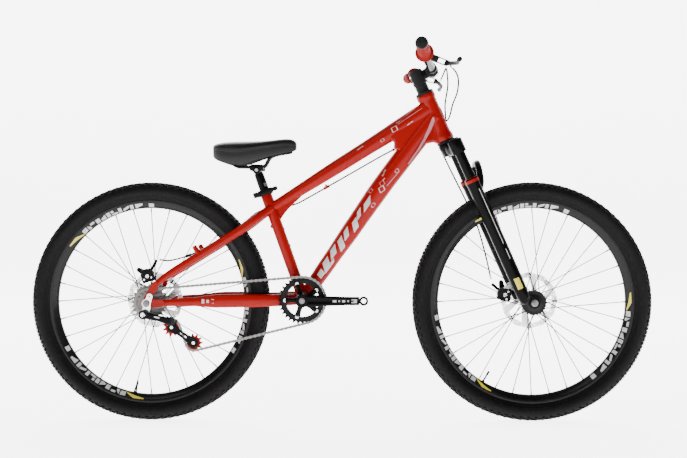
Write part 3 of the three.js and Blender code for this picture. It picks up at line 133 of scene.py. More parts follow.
class Shape:
    """Collects closed solids, which become one mesh."""

    def __init__(self):
        self.verts = []
        self.faces = []

    def rings(self, rings, closed=False, caps=True):
        base = len(self.verts)
        count = len(rings[0])
        for ring in rings:
            self.verts.extend(ring)
        rows = len(rings)
        for i in range(rows if closed else rows - 1):
            a, b = base + i * count, base + ((i + 1) % rows) * count
            for k in range(count):
                n = (k + 1) % count
                self.faces.append((a + k, a + n, b + n, b + k))
        if caps and not closed:
            self.faces.append(tuple(base + k for k in reversed(range(count))))
            last = base + (rows - 1) * count
            self.faces.append(tuple(last + k for k in range(count)))
        return self

    def turned(self, profile, centre, axis=Y, sides=64, start=0.0, sweep=360.0, guide=None):
        """A closed profile of (radius, height) pairs turned about an axis."""
        first, second = axes_along(axis, guide)
        full = sweep >= 360
        count = sides if full else sides + 1
        rings = []
        for i in range(count):
            angle = math.radians(start + sweep * i / sides)
            out = second * math.cos(angle) + first * math.sin(angle)
            rings.append([centre + out * r + axis.normalized() * h for r, h in profile])
        return self.rings(rings, closed=full, caps=not full)

    def rod(self, start, end, radius, end_radius=None, sides=24, chamfer=0.0, flat=1.0, guide=None):
        end_radius = radius if end_radius is None else end_radius
        along = end - start
        length = along.length
        first, second = axes_along(along, guide)
        stops = [(0, radius), (length, end_radius)]
        if chamfer:
            stops = [(0, radius - chamfer), (chamfer, radius), (length - chamfer, end_radius),
                     (length, end_radius - chamfer)]
        unit = along.normalized()
        rings = []
        for distance, r in stops:
            ring = []
            for k in range(sides):
                angle = 2 * math.pi * k / sides
                offset = first * (r * math.cos(angle)) + second * (r * flat * math.sin(angle))
                ring.append(start + unit * distance + offset)
            rings.append(ring)
        return self.rings(rings)

    def disc(self, centre, radius, low, high, sides=32, chamfer=0.0):
        return self.rod(sideways(centre, low), sideways(centre, high), radius, sides=sides,
                        chamfer=chamfer)

    def tube(self, places, radius, sides=16, flat=1.0, guide=None, power=1.0):
        """A round or oval tube through places; radius is a number or one for each place."""
        radii = radius if isinstance(radius, (list, tuple)) else [radius] * len(places)
        rings = []
        previous = None
        for i, place in enumerate(places):
            ahead = places[min(i + 1, len(places) - 1)]
            behind = places[max(i - 1, 0)]
            along = (ahead - behind).normalized()
            if guide is not None:
                first, second = axes_along(along, guide)
            elif previous is None:
                first, second = axes_along(along)
            else:
                second = (previous - along * previous.dot(along)).normalized()
                first = along.cross(second).normalized()
            previous = second
            ring = []
            for k in range(sides):
                angle = 2 * math.pi * k / sides
                c, s = math.cos(angle), math.sin(angle)
                c = math.copysign(abs(c) ** power, c)
                s = math.copysign(abs(s) ** power, s)
                ring.append(place + first * (radii[i] * c) + second * (radii[i] * flat * s))
            rings.append(ring)
        return self.rings(rings)

    def box(self, centre, size, axes=(X, Y, Z), taper=1.0):
        corners = []
        for w, scale in ((-0.5, 1.0), (0.5, taper)):
            corners.append([
                centre + axes[0] * (u * size[0] * scale) + axes[1] * (v * size[1] * scale)
                + axes[2] * (w * size[2])
                for u, v in ((-0.5, -0.5), (0.5, -0.5), (0.5, 0.5), (-0.5, 0.5))
            ])
        return self.rings(corners)

    def beam(self, start, end, height, width, guide=None):
        along = (end - start).normalized()
        first, second = axes_along(along, guide)
        return self.box((start + end) / 2, (height, width, (end - start).length),
                        (first, second, along))

    def ball(self, centre, radius, sides=20, squash=(1, 1, 1)):
        rows = sides // 2
        rings = []
        for i in range(1, rows):
            tilt = math.pi * i / rows
            rings.append([
                centre + Vector((
                    squash[0] * radius * math.sin(tilt) * math.cos(2 * math.pi * k / sides),
                    squash[1] * radius * math.sin(tilt) * math.sin(2 * math.pi * k / sides),
                    squash[2] * radius * math.cos(tilt),
                ))
                for k in range(sides)
            ])
        return self.rings(rings)

    def hexagon(self, centre, axis, across, height, sides=6):
        return self.rod(centre, centre + axis.normalized() * height, across / math.sqrt(3),
                        sides=sides, chamfer=height * 0.15)


def flat_shape(outlines, low, high, bevel=0.0):
    """Upright plates along the bicycle: closed outlines of (x, z), where an inner one is a hole."""
    curve = bpy.data.curves.new("outline", "CURVE")
    curve.dimensions = "2D"
    curve.fill_mode = "BOTH"
    curve.extrude = max((high - low) / 2 - bevel, 1e-5)
    curve.bevel_depth = bevel
    curve.bevel_resolution = 1
    for pairs in outlines:
        spline = curve.splines.new("POLY")
        spline.points.add(len(pairs) - 1)
        for point, (x, z) in zip(spline.points, pairs):
            point.co = (x, z, 0, 1)
        spline.use_cyclic_u = True
    holder = bpy.data.objects.new("outline", curve)
    bpy.context.scene.collection.objects.link(holder)
    mesh = bpy.data.meshes.new_from_object(holder)
    middle = (low + high) / 2
    shape = Shape()
    shape.verts = [Vector((v.co.x, middle - v.co.z, v.co.y)) for v in mesh.vertices]
    shape.faces = [tuple(p.vertices) for p in mesh.polygons]
    bpy.data.objects.remove(holder)
    bpy.data.curves.remove(curve)
    bpy.data.meshes.remove(mesh)
    return shape


def circle(centre, radius, count=32, start=0.0):
    return [
        (centre.x + radius * math.cos(start + 2 * math.pi * k / count),
         centre.z + radius * math.sin(start + 2 * math.pi * k / count))
        for k in range(count)
    ]


def merge(*shapes):
    result = Shape()
    for shape in shapes:
        base = len(result.verts)
        result.verts.extend(shape.verts)
        result.faces.extend(tuple(base + i for i in face) for face in shape.faces)
    return result


def smooth_path(places, count):
    """Places along a smooth curve through the given ones, evenly spread by distance."""
    dense = []
    padded = [places[0] * 2 - places[1], *places, places[-1] * 2 - places[-2]]
    for i in range(1, len(padded) - 2):
        a, b, c, d = padded[i - 1:i + 3]
        for k in range(12):
            t = k / 12
            dense.append(0.5 * ((2 * b) + (c - a) * t + (2 * a - 5 * b + 4 * c - d) * t ** 2
                                + (3 * b - a - 3 * c + d) * t ** 3))
    dense.append(places[-1].copy())
    lengths = [0.0]
    for a, b in zip(dense, dense[1:]):
        lengths.append(lengths[-1] + (b - a).length)
    result = []
    k = 0
    for i in range(count):
        target = lengths[-1] * i / (count - 1)
        while k < len(lengths) - 2 and lengths[k + 1] < target:
            k += 1
        span = lengths[k + 1] - lengths[k]
        share = (target - lengths[k]) / span if span else 0
        result.append(dense[k].lerp(dense[k + 1], min(1, share)))
    return result


BEVEL_ANGLE = math.radians(32)


def piece(name, shape, body, material, replaces=(), bevel=0.0, segments=2, crease=38,
          subdivide=0):
    """Makes one visible piece of a shape and hangs it on a body of the frame."""
    mesh = bpy.data.meshes.new(name)
    mesh.from_pydata([tuple(v) for v in shape.verts], [], shape.faces)
    work = bmesh.new()
    work.from_mesh(mesh)
    bmesh.ops.recalc_face_normals(work, faces=work.faces)
    if bevel:
        edges = [e for e in work.edges
                 if len(e.link_faces) == 2 and e.calc_face_angle(0) > BEVEL_ANGLE]
        bmesh.ops.bevel(work, geom=edges, offset=bevel, segments=segments, profile=0.6,
                        affect="EDGES", clamp_overlap=True)
    work.to_mesh(mesh)
    work.free()
    for polygon in mesh.polygons:
        polygon.use_smooth = True
    mesh.set_sharp_from_angle(angle=math.radians(crease))
    item = bpy.data.objects.new(name, mesh)
    bpy.context.scene.collection.objects.link(item)
    mesh.materials.append(material)
    if subdivide:
        modifier = item.modifiers.new("smooth", "SUBSURF")
        modifier.levels = subdivide
        modifier.render_levels = subdivide
    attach(item, body)
    if replaces:
        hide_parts(*replaces)
    return item


# ---------- materials ----------
def new_material(name):
    material = bpy.data.materials.new(name)
    material.use_nodes = True
    nodes = material.node_tree.nodes
    return material, nodes, material.node_tree.links, nodes["Principled BSDF"]


def surface(name, color, roughness, metallic=0.0, coat=0.0, vary=0.12, vary_scale=30.0,
            grain=0.0, grain_scale=900.0, specular=0.5, rough_vary=0.08, sheen=0.0,
            stretch=(1, 1, 1), wear=0.0, wear_color=(0.3, 0.3, 0.3), dust=0.0):
    """A procedural material: mottled colour, uneven roughness, fine grain, and worn edges."""
    material, nodes, links, shader = new_material(name)
    shader.inputs["Metallic"].default_value = metallic
    shader.inputs["Specular IOR Level"].default_value = specular
    shader.inputs["Coat Weight"].default_value = coat
    shader.inputs["Coat Roughness"].default_value = 0.06
    shader.inputs["Sheen Weight"].default_value = sheen
    place = nodes.new("ShaderNodeTexCoord")
    mapping = nodes.new("ShaderNodeMapping")
    mapping.inputs["Scale"].default_value = stretch
    links.new(place.outputs["Object"], mapping.inputs["Vector"])
    mottle = nodes.new("ShaderNodeTexNoise")
    mottle.inputs["Scale"].default_value = vary_scale
    mottle.inputs["Detail"].default_value = 5
    links.new(mapping.outputs["Vector"], mottle.inputs["Vector"])
    ramp = nodes.new("ShaderNodeValToRGB")
    ramp.color_ramp.elements[0].position = 0.3
    ramp.color_ramp.elements[1].position = 0.7
    ramp.color_ramp.elements[0].color = (*[c * (1 - vary) for c in color], 1)
    ramp.color_ramp.elements[1].color = (*[min(1, c * (1 + vary)) for c in color], 1)
    links.new(mottle.outputs["Fac"], ramp.inputs["Fac"])
    base = ramp.outputs["Color"]
    if dust:
        high = nodes.new("ShaderNodeTexNoise")
        high.inputs["Scale"].default_value = vary_scale * 9
        high.inputs["Detail"].default_value = 8
        links.new(place.outputs["Object"], high.inputs["Vector"])
        limit = nodes.new("ShaderNodeMapRange")
        limit.inputs["From Min"].default_value = 0.52
        limit.inputs["From Max"].default_value = 0.75
        limit.inputs["To Max"].default_value = dust
        links.new(high.outputs["Fac"], limit.inputs["Value"])
        mix = nodes.new("ShaderNodeMix")
        mix.data_type = "RGBA"
        mix.inputs["B"].default_value = (0.30, 0.27, 0.24, 1)
        links.new(limit.outputs["Result"], mix.inputs["Factor"])
        links.new(base, mix.inputs["A"])
        base = mix.outputs["Result"]
    if wear:
        geometry = nodes.new("ShaderNodeNewGeometry")
        edge = nodes.new("ShaderNodeMapRange")
        edge.inputs["From Min"].default_value = 0.53
        edge.inputs["From Max"].default_value = 0.62
        edge.inputs["To Max"].default_value = wear
        links.new(geometry.outputs["Pointiness"], edge.inputs["Value"])
        worn = nodes.new("ShaderNodeMix")
        worn.data_type = "RGBA"
        worn.inputs["B"].default_value = (*wear_color, 1)
        links.new(edge.outputs["Result"], worn.inputs["Factor"])
        links.new(base, worn.inputs["A"])
        base = worn.outputs["Result"]
    links.new(base, shader.inputs["Base Color"])
    uneven = nodes.new("ShaderNodeMapRange")
    uneven.inputs["To Min"].default_value = max(0.02, roughness - rough_vary)
    uneven.inputs["To Max"].default_value = min(1, roughness + rough_vary)
    links.new(mottle.outputs["Fac"], uneven.inputs["Value"])
    links.new(uneven.outputs["Result"], shader.inputs["Roughness"])
    if grain:
        fine = nodes.new("ShaderNodeTexNoise")
        fine.inputs["Scale"].default_value = grain_scale
        fine.inputs["Detail"].default_value = 3
        links.new(mapping.outputs["Vector"], fine.inputs["Vector"])
        bump = nodes.new("ShaderNodeBump")
        bump.inputs["Strength"].default_value = grain
        bump.inputs["Distance"].default_value = 0.0004
        links.new(fine.outputs["Fac"], bump.inputs["Height"])
        links.new(bump.outputs["Normal"], shader.inputs["Normal"])
    return material


RED_PAINT = surface("red_paint", (0.165, 0.0012, 0.0006), 0.30, coat=0.05, vary=0.05, vary_scale=9,
                    grain=0.05, grain_scale=240, rough_vary=0.05, specular=0.07)
BLACK_GLOSS = surface("black_gloss", (0.0014, 0.0013, 0.0014), 0.26, coat=0.0, vary=0.2,
                      vary_scale=14, grain=0.04, grain_scale=260, rough_vary=0.05, specular=0.04)
BLACK_SATIN = surface("black_satin", (0.0022, 0.0022, 0.0024), 0.46, coat=0.0, vary=0.2,
                      vary_scale=40, grain=0.15, grain_scale=1500, wear=0.03, specular=0.04)
BLACK_ANODISED = surface("black_anodised", (0.0022, 0.0022, 0.0024), 0.42, metallic=0.0, vary=0.15,
                         vary_scale=60, grain=0.12, grain_scale=1800, wear=0.04, specular=0.04)
RIM_BLACK = surface("rim_black", (0.0022, 0.0022, 0.0025), 0.28, coat=0.06, vary=0.2, vary_scale=20,
                    grain=0.05, grain_scale=500, rough_vary=0.06, specular=0.10)
STEEL = surface("steel", (0.56, 0.56, 0.58), 0.3, metallic=1.0, vary=0.08, vary_scale=50,
                grain=0.12, grain_scale=700, stretch=(1, 6, 1))
DARK_STEEL = surface("dark_steel", (0.10, 0.095, 0.09), 0.42, metallic=0.9, vary=0.25,
                     vary_scale=120, grain=0.2, grain_scale=900, wear=0.4)
SPOKE_STEEL = surface("spoke_steel", (0.0012, 0.0012, 0.0013), 0.6, metallic=0.0, vary=0.1,
                      vary_scale=80, specular=0.02)
BRIGHT_ALLOY = surface("bright_alloy", (0.72, 0.72, 0.74), 0.24, metallic=1.0, vary=0.06,
                       vary_scale=70, grain=0.08, grain_scale=900)
TYRE_RUBBER = surface("tyre_rubber", (0.0026, 0.0022, 0.0026), 0.6, vary=0.18, vary_scale=16,
                      grain=0.4, grain_scale=1400, specular=0.07, rough_vary=0.1, dust=0.01)
CABLE_RUBBER = surface("cable_rubber", (0.0012, 0.0012, 0.0013), 0.5, vary=0.15, vary_scale=60,
                       grain=0.15, grain_scale=1600, specular=0.04)
VINYL = surface("vinyl", (0.0024, 0.0024, 0.0026), 0.38, vary=0.15, vary_scale=24, grain=0.3,
                grain_scale=1700, specular=0.16, rough_vary=0.06)
GRIP_RUBBER = surface("grip_rubber", (0.13, 0.0025, 0.0018), 0.55, vary=0.1, vary_scale=40,
                      grain=0.35, grain_scale=1500, specular=0.05)
RED_PLASTIC = surface("red_plastic", (0.16, 0.003, 0.0018), 0.42, vary=0.08, vary_scale=60,
                      grain=0.1, grain_scale=1300, specular=0.08)
BLACK_PLASTIC = surface("black_plastic", (0.003, 0.003, 0.0033), 0.5, vary=0.15, vary_scale=50,
                        grain=0.3, grain_scale=1200, specular=0.12)
# White print on the rims, frame and cranks; the same material also makes the painted highlight lines on
# the fork legs.
WHITE_PRINT_AND_HIGHLIGHT = surface("white_decal", (0.30, 0.29, 0.29), 0.4, coat=0.1, vary=0.04, vary_scale=40,
                      grain=0.05, grain_scale=900)
PINK_DECAL = surface("pink_decal", (0.26, 0.085, 0.10), 0.4, coat=0.1, vary=0.12, vary_scale=60,
                     grain=0.05, grain_scale=900)
GREY_DECAL = surface("grey_decal", (0.30, 0.30, 0.31), 0.4, coat=0.3, vary=0.2, vary_scale=300,
                     grain=0.05, grain_scale=900)
YELLOW_DECAL = surface("yellow_decal", (0.40, 0.33, 0.008), 0.4, coat=0.1, vary=0.05,
                       vary_scale=60, grain=0.05, grain_scale=900)
ROTOR_STEEL = surface("rotor_steel", (0.60, 0.60, 0.61), 0.28, metallic=1.0, vary=0.06,
                      vary_scale=90, grain=0.2, grain_scale=1100, stretch=(1, 8, 1))
CHAIN_STEEL = surface("chain_steel", (0.075, 0.068, 0.06), 0.38, metallic=0.9, vary=0.3,
                      vary_scale=200, grain=0.15, grain_scale=900, wear=0.35)
# ---------- wheels ----------
RIM_INNER = 0.263
RIM_EDGE = 0.2855
SPOKES = 32
KNOBS = 96


def tyre(name, axle, body):
    casing = [
        (0.2820, 0.0128), (0.2868, 0.0136), (0.2905, 0.0168), (0.2960, 0.0222), (0.3030, 0.0262),
        (0.3105, 0.0276), (0.3170, 0.0268), (0.3228, 0.0240), (0.3275, 0.0196), (0.3308, 0.0138),
        (0.3326, 0.0072), (0.3332, 0.0),
    ]
    inner = [(r - 0.0028, y * 0.9) for r, y in casing[1:]]
    loop = casing + [(r, -y) for r, y in reversed(casing[:-1])]
    loop += [(r, -y) for r, y in inner[:-1]]
    loop += [(inner[-1][0], 0.0)] + list(reversed(inner[:-1]))
    shape = Shape().turned(loop, axle, sides=160)
    piece(name + "_casing", shape, body, TYRE_RUBBER, (name,), crease=60)
    # Moulded ribs on each wall, low enough to stay a texture.
    ribs = Shape()
    for side in (LEFT, RIGHT):
        for radius, y in ((0.2935, 0.0199), (0.2985, 0.0236)):
            ring = [(radius - 0.0007, side * (y - 0.001)), (radius, side * (y + 0.0009)),
                    (radius + 0.0007, side * (y - 0.0002))]
            ribs.turned(ring, axle, sides=160)
    piece(name + "_ribs", ribs, body, TYRE_RUBBER, crease=60)
    # Tread blocks: three rows down the middle and two on each shoulder.
    rows = [(0.0, 0.0050, 0.0078, 0.0), (0.0088, 0.0062, 0.0068, 0.5), (0.0162, 0.0056, 0.0072, 0.0),
            (0.0216, 0.0048, 0.0060, 0.5)]
    tread = Shape()
    for y, width, length, phase in rows:
        for side in ((LEFT, RIGHT) if y else (LEFT,)):
            k = max(0, min(len(casing) - 2, next(
                (i for i in range(len(casing) - 1, 0, -1) if casing[i - 1][1] >= y), 1) - 1))
            (r0, y0), (r1, y1) = casing[k], casing[k + 1]
            share = (y - y0) / (y1 - y0) if y1 != y0 else 0
            radius = r0 + (r1 - r0) * share
            normal_out = Vector((abs(y0 - y1), 0, r1 - r0)).normalized()
            for i in range(KNOBS):
                angle = 2 * math.pi * (i + phase) / KNOBS
                out = Vector((math.cos(angle), 0, math.sin(angle)))
                round_way = Vector((-math.sin(angle), 0, math.cos(angle)))
                normal = out * normal_out.x + Y * (side * normal_out.z)
                across = round_way.cross(normal)
                rise = min(0.0034, TYRE_RADIUS - 0.0002 - radius)
                centre = axle + out * radius + Y * (side * y) + normal * (rise / 2 - 0.0006)
                tread.box(centre, (length * 1.5, width, rise + 0.0008), (round_way, across, normal),
                          taper=0.86)
    piece(name + "_tread", tread, body, TYRE_RUBBER, crease=30)


def rim(name, axle, body, first_mark):
    profile = [
        (RIM_INNER, 0.0030), (RIM_INNER + 0.0015, 0.0052), (0.2700, 0.0098), (0.2752, 0.0138),
        (0.2775, 0.0150), (RIM_EDGE, 0.0150), (0.2860, 0.0142), (RIM_EDGE, 0.0134),
        (0.2795, 0.0130), (0.2780, 0.0095), (0.2755, 0.0060),
    ]
    loop = profile + [(r, -y) for r, y in reversed(profile)]
    piece(name + "_shell", Shape().turned(loop, axle, sides=160), body, RIM_BLACK,
          (name,), crease=50)
    eyelets = Shape()
    for i in range(SPOKES):
        lean = 1 if (i // 2) % 2 else -1
        side = LEFT if i % 2 else RIGHT
        out = around(Vector(), i * 360 / SPOKES, 1.0)
        place = axle + out * (RIM_INNER + 0.0003) + Y * (side * 0.002 + lean * 0.0011)
        eyelets.rod(place - out * 0.0006, place + out * 0.001, 0.0028, sides=12)
    piece(name + "_eyelets", eyelets, body, BLACK_ANODISED)
    rim_marks(name, axle, body, first_mark)


def wall_patch(shape, axle, side, span, rows=((0.0, 1.0), (0.0, 1.0))):
    """A thin patch on a rim's side wall. `span` is (start, end) in degrees; `rows` gives how far
    it reaches from the inner to the outer edge of the wall, at its start and at its end."""
    inner, outer = (0.2655, 0.0068), (0.2772, 0.0151)
    lift = 0.00022
    steps = max(2, int(abs(span[1] - span[0]) / 1.0))
    front = []
    for i in range(steps + 1):
        t = i / steps
        degrees = span[0] + (span[1] - span[0]) * t
        ring = []
        for v in (0, 1):
            reach = rows[0][v] * (1 - t) + rows[1][v] * t
            radius = inner[0] + (outer[0] - inner[0]) * reach
            y = inner[1] + (outer[1] - inner[1]) * reach
            ring.append((radius, y))
        place = [around(axle, degrees, r, side * (y + lift)) for r, y in ring]
        under = [around(axle, degrees, r, side * (y - 0.0006)) for r, y in ring]
        front.append([place[0], place[1], under[1], under[0]])
    shape.rings(front)


def rim_marks(name, axle, body, first_mark):
    """Generic block graphics on the rim: a slanted lozenge, then slanted bars, three times."""
    yellow, white, grey = Shape(), Shape(), Shape()
    bars = [
        (5.0, 8.2, (0.0, 0.9), (0.1, 1.0)), (9.0, 10.8, (0.0, 1.0), (0.0, 0.35)),
        (11.2, 14.0, (0.55, 1.0), (0.55, 1.0)), (15.0, 17.6, (0.0, 0.95), (0.0, 0.95)),
        (18.4, 21.6, (0.0, 0.4), (0.0, 0.95)), (22.4, 24.6, (0.0, 1.0), (0.0, 1.0)),
        (25.4, 29.2, (0.0, 0.35), (0.0, 0.35)), (25.4, 27.0, (0.5, 1.0), (0.5, 1.0)),
        (29.9, 31.9, (0.0, 1.0), (0.0, 1.0)), (33.0, 36.6, (0.0, 0.5), (0.5, 1.0)),
        (37.2, 39.2, (0.0, 1.0), (0.0, 1.0)), (40.4, 44.8, (0.0, 1.0), (0.6, 1.0)),
    ]
    for side in (LEFT, RIGHT):
        for turn in range(3):
            start = first_mark + 120 * turn
            wall_patch(yellow, axle, side, (start + 5.5, start - 0.5), ((0.75, 1.0), (0.35, 1.0)))
            wall_patch(yellow, axle, side, (start - 0.5, start - 5.0), ((0.35, 1.0), (0.0, 0.2)))
            for low, high, begin, finish in bars:
                wall_patch(white, axle, side, (start - low - 0.5, start - high - 0.5),
                           (begin, finish))
            wall_patch(grey, axle, side, (start - 49, start - 52.0), ((0.05, 0.9), (0.05, 0.9)))
    piece(name + "_yellow_marks", yellow, body, YELLOW_DECAL, crease=30)
    piece(name + "_white_marks", white, body, WHITE_PRINT_AND_HIGHLIGHT, crease=30)
    piece(name + "_grey_marks", grey, body, GREY_DECAL, crease=30)


def spoke_set(name, axle, body, flange_left, flange_right, flange_radius):
    wires, nipples = Shape(), Shape()
    for i in range(SPOKES):
        side = LEFT if i % 2 else RIGHT
        lean = 1 if (i // 2) % 2 else -1
        rim_angle = i * 360 / SPOKES
        hub_angle = rim_angle + lean * 67.5
        flange = flange_left if side == LEFT else flange_right
        inner = around(axle, hub_angle, flange_radius - 0.003, flange + lean * 0.0026)
        outer = around(axle, rim_angle, RIM_INNER - 0.0008, side * 0.002 + lean * 0.0011)
        along = (outer - inner).normalized()
        wires.rod(inner - along * 0.001, outer, 0.00125, sides=10)
        wires.rod(inner - Y * (lean * 0.0038), inner + Y * (lean * 0.0006), 0.0014, sides=10)
        nipples.rod(outer - along * 0.012, outer - along * 0.0002, 0.0016, 0.0019, sides=10)
    piece(name + "_spokes", wires, body, SPOKE_STEEL)
    piece(name + "_nipples", nipples, body, SPOKE_STEEL)


def hub(name, axle, body, sizes):
    left, right, radius, rotor_face, right_end, right_radius = sizes
    bore = 0.0052
    profile = [
        (bore, rotor_face), (0.0200, rotor_face), (0.0210, rotor_face - 0.001),
        (0.0210, rotor_face - 0.0048), (0.0150, left + 0.0045), (0.0152, left + 0.0030),
        (radius - 0.002, left + 0.0018), (radius, left + 0.0010), (radius, left - 0.0010),
        (radius - 0.002, left - 0.0018), (0.0160, left - 0.0045), (0.0135, left - 0.0110),
        (0.0130, 0.0), (0.0135, right + 0.0110), (0.0160, right + 0.0045),
        (radius - 0.002, right + 0.0018), (radius, right + 0.0010), (radius, right - 0.0010),
        (radius - 0.002, right - 0.0018), (right_radius, right - 0.0040),
        (right_radius, right_end), (bore, right_end),
    ]
    piece(name + "_shell", Shape().turned(profile, axle, sides=64), body, BLACK_ANODISED,
          (name,), crease=40)
    spoke_set(name, axle, body, left, right, radius)


def rotor(name, axle, body, middle):
    """A wavy brake rotor with a drilled track and swept arms."""
    half = 0.0009
    waves = 12
    outer = []
    for k in range(240):
        angle = 2 * math.pi * k / 240
        wave = 0.5 - 0.5 * math.cos(waves * angle)
        outer.append((axle.x + (0.080 - 0.0028 * wave ** 1.5) * math.cos(angle),
                      axle.z + (0.080 - 0.0028 * wave ** 1.5) * math.sin(angle)))
    arms = 6
    windows = []
    for i in range(arms):
        start = 60 * i
        window = []
        for k in range(13):
            t = k / 12
            window.append(around(axle, start + 30 + 42 * t, 0.0655 - 0.0012 * math.sin(6 * math.pi * t)))
        for k in range(9):
            t = 1 - k / 8
            window.append(around(axle, start + 6 + 34 * t, 0.0270))
        windows.append([(p.x, p.z) for p in window])
    holes = []
    for i in range(36):
        ring = (0.0695, 0.0730, 0.0765)[i % 3]
        holes.append(circle(around(axle, i * 10 + 3, ring - 0.0005), 0.0019, 12))
    for i in range(6):
        holes.append(circle(around(axle, 60 * i + 25, 0.0170), 0.0026, 16))
    holes.append(circle(axle, 0.0100, 48))
    shape = flat_shape([outer, *windows, *holes], middle - half, middle + half, bevel=0.0002)
    piece(name + "_disc", shape, body, ROTOR_STEEL, (name,), crease=30)
    bolts = Shape()
    for i in range(6):
        place = around(axle, 60 * i + 25, 0.0170, middle + half)
        bolts.rod(place - Y * 0.002, place + Y * 0.0018, 0.0040, sides=20, chamfer=0.0006)
        bolts.rod(place + Y * 0.0016, place + Y * 0.0022, 0.0018, sides=6)
    piece(name + "_bolts", bolts, body, BLACK_ANODISED)


def valve(name, axle, body, degrees):
    out = around(Vector(), degrees, 1.0)
    shape = Shape()
    shape.rod(axle + out * 0.2605, axle + out * 0.2635, 0.0045, 0.0040, sides=20, chamfer=0.0006)
    shape.rod(axle + out * 0.2380, axle + out * 0.2650, 0.0026, sides=20)
    shape.rod(axle + out * 0.2292, axle + out * 0.2420, 0.0030, 0.0034, sides=20, chamfer=0.0010)
    piece(name + "_valve", shape, body, BLACK_PLASTIC)
    # The rest of the inner tube is hidden between rim and tyre.
    middle, radius = 0.3085, 0.0185
    section = [(middle + radius * math.cos(math.radians(a)), radius * math.sin(math.radians(a)))
               for a in range(0, 360, 30)]
    piece(name + "_bladder", Shape().turned(section, axle, sides=64), body, BLACK_PLASTIC,
          (name + "_inner_tube",), crease=60)


FRONT_HUB = (0.025, -0.035, 0.022, 0.0384, -0.044, 0.009)
REAR_HUB = (0.032, -0.020, 0.025, 0.0510, -0.060, 0.016)


def wheels():
    for name, axle, sizes, rotor_y, mark, valve_angle in (
        ("front", FRONT_AXLE, FRONT_HUB, 0.0396, 0, 239),
        ("rear", REAR_AXLE, REAR_HUB, 0.0522, 20, 260),
    ):
        body = name + "_wheel"
        tyre(name + "_tyre", axle, body)
        rim(name + "_rim", axle, body, mark)
        hub(name + "_hub", axle, body, sizes)
        rotor(name + "_rotor", axle, body, rotor_y)
        valve(name, axle, body, valve_angle)
    # A toothed dust cover sits on the front hub's drive side.
    cover = []
    for k in range(144):
        angle = 2 * math.pi * k / 144
        reach = 0.0350 - 0.0022 * (0.5 - 0.5 * math.cos(24 * angle))
        cover.append((FRONT_AXLE.x + reach * math.cos(angle), FRONT_AXLE.z + reach * math.sin(angle)))
    shape = flat_shape([cover, circle(FRONT_AXLE, 0.0055)], -0.0455, -0.0400, bevel=0.0006)
    shape = merge(shape, Shape().turned([(0.0055, -0.0488), (0.020, -0.0480), (0.024, -0.0455),
                                         (0.024, -0.0400), (0.0055, -0.0400)], FRONT_AXLE, sides=64))
    piece("front_hub_cover", shape, "front_wheel", BLACK_PLASTIC, crease=30)
    for name, axle, ends in (("front", FRONT_AXLE, (0.0573, 0.0643)),
                             ("rear", REAR_AXLE, (0.0774, 0.0844))):
        axle_set(name, axle, ends)


def axle_set(name, axle, ends):
    body = "fork_lower" if name == "front" else "frame"
    shape = Shape()
    reach = ends[1] + 0.0036
    shape.rod(sideways(axle, -reach), sideways(axle, reach), 0.0047, sides=24, chamfer=0.0008)
    for side in (LEFT, RIGHT):
        shape.hexagon(sideways(axle, side * ends[0]), Y * side, 0.0150, ends[1] - ends[0])
        shape.rod(sideways(axle, side * ends[0]), sideways(axle, side * (ends[0] + 0.0016)),
                  0.0100, sides=28, chamfer=0.0004)
    piece(name + "_axle_set", shape, body, DARK_STEEL, (name + "_axle",), crease=30)
# ---------- frame ----------
DROPOUT_INNER = 0.0675
SEATSTAY_FOOT = REAR_AXLE + Vector((0.024, 0, 0.052))
CHAINSTAY_FOOT = REAR_AXLE + Vector((0.040, 0, 0))
DOWN_KNEE = BRACKET.lerp(at_head(HEAD_LENGTH * 0.61), 0.64)
TOP_START = BRACKET + SEAT_UP * (SEAT_TUBE_LENGTH - 0.055)


def spread(values, count):
    """Values at even steps between the given ones, for radii along a smoothed path."""
    result = []
    for i in range(count):
        t = (len(values) - 1) * i / (count - 1)
        k = min(len(values) - 2, int(t))
        share = t - k
        share = share * share * (3 - 2 * share)
        result.append(values[k] * (1 - share) + values[k + 1] * share)
    return result


def head_tube():
    profile = [
        (0.0185, 0.0003), (0.0258, 0.0), (0.0268, 0.0010), (0.0268, 0.0105), (0.0262, 0.0150),
        (0.0246, 0.0215), (0.0240, 0.0300), (0.0240, 0.1170), (0.0245, 0.1240), (0.0262, 0.1285),
        (0.0265, 0.1300), (0.0265, 0.1390), (0.0255, 0.1400), (0.0185, 0.1397),
    ]
    piece("head_tube_shell", Shape().turned(profile, HEAD_BOTTOM, HEAD_UP, sides=72), "frame",
          RED_PAINT, ("head_tube",), crease=50)
    plaque = Shape()
    middle = at_head(0.076, 0, 0.0243)
    plaque.tube([middle - HEAD_UP * 0.016, middle - HEAD_UP * 0.012, middle + HEAD_UP * 0.010,
                 middle + HEAD_UP * 0.016], [0.004, 0.0095, 0.0095, 0.004], sides=24, flat=0.12,
                guide=HEAD_FORWARD)
    piece("head_plaque", plaque, "frame", BRIGHT_ALLOY, crease=40)
    for name, face, outward in (("upper", 0.1400, 1), ("lower", 0.0, -1)):
        rim_line = face + outward * 0.0003
        cup = [
            (0.0150, rim_line + outward * 0.0080), (0.0240, rim_line + outward * 0.0078),
            (0.0256, rim_line + outward * 0.0062), (0.0258, rim_line + outward * 0.0014),
            (0.0250, rim_line), (0.0190, rim_line), (0.0190, rim_line - outward * 0.0090),
            (0.0150, rim_line - outward * 0.0090),
        ]
        piece(f"headset_{name}_race", Shape().turned(cup, HEAD_BOTTOM, HEAD_UP, sides=72), "frame",
              BLACK_ANODISED, (f"headset_{name}_cup",), crease=35)


def down_path(count=48):
    places = [BRACKET, BRACKET.lerp(DOWN_KNEE, 0.3), BRACKET.lerp(DOWN_KNEE, 0.62),
              BRACKET.lerp(DOWN_KNEE, 0.94), DOWN_KNEE.lerp(at_head(0.0728), 0.5), at_head(0.0728)]
    stops = [0.0195, 0.0228, 0.0262, 0.0285, 0.0292, 0.0292]
    return smooth_path(places, count), spread(stops, count)


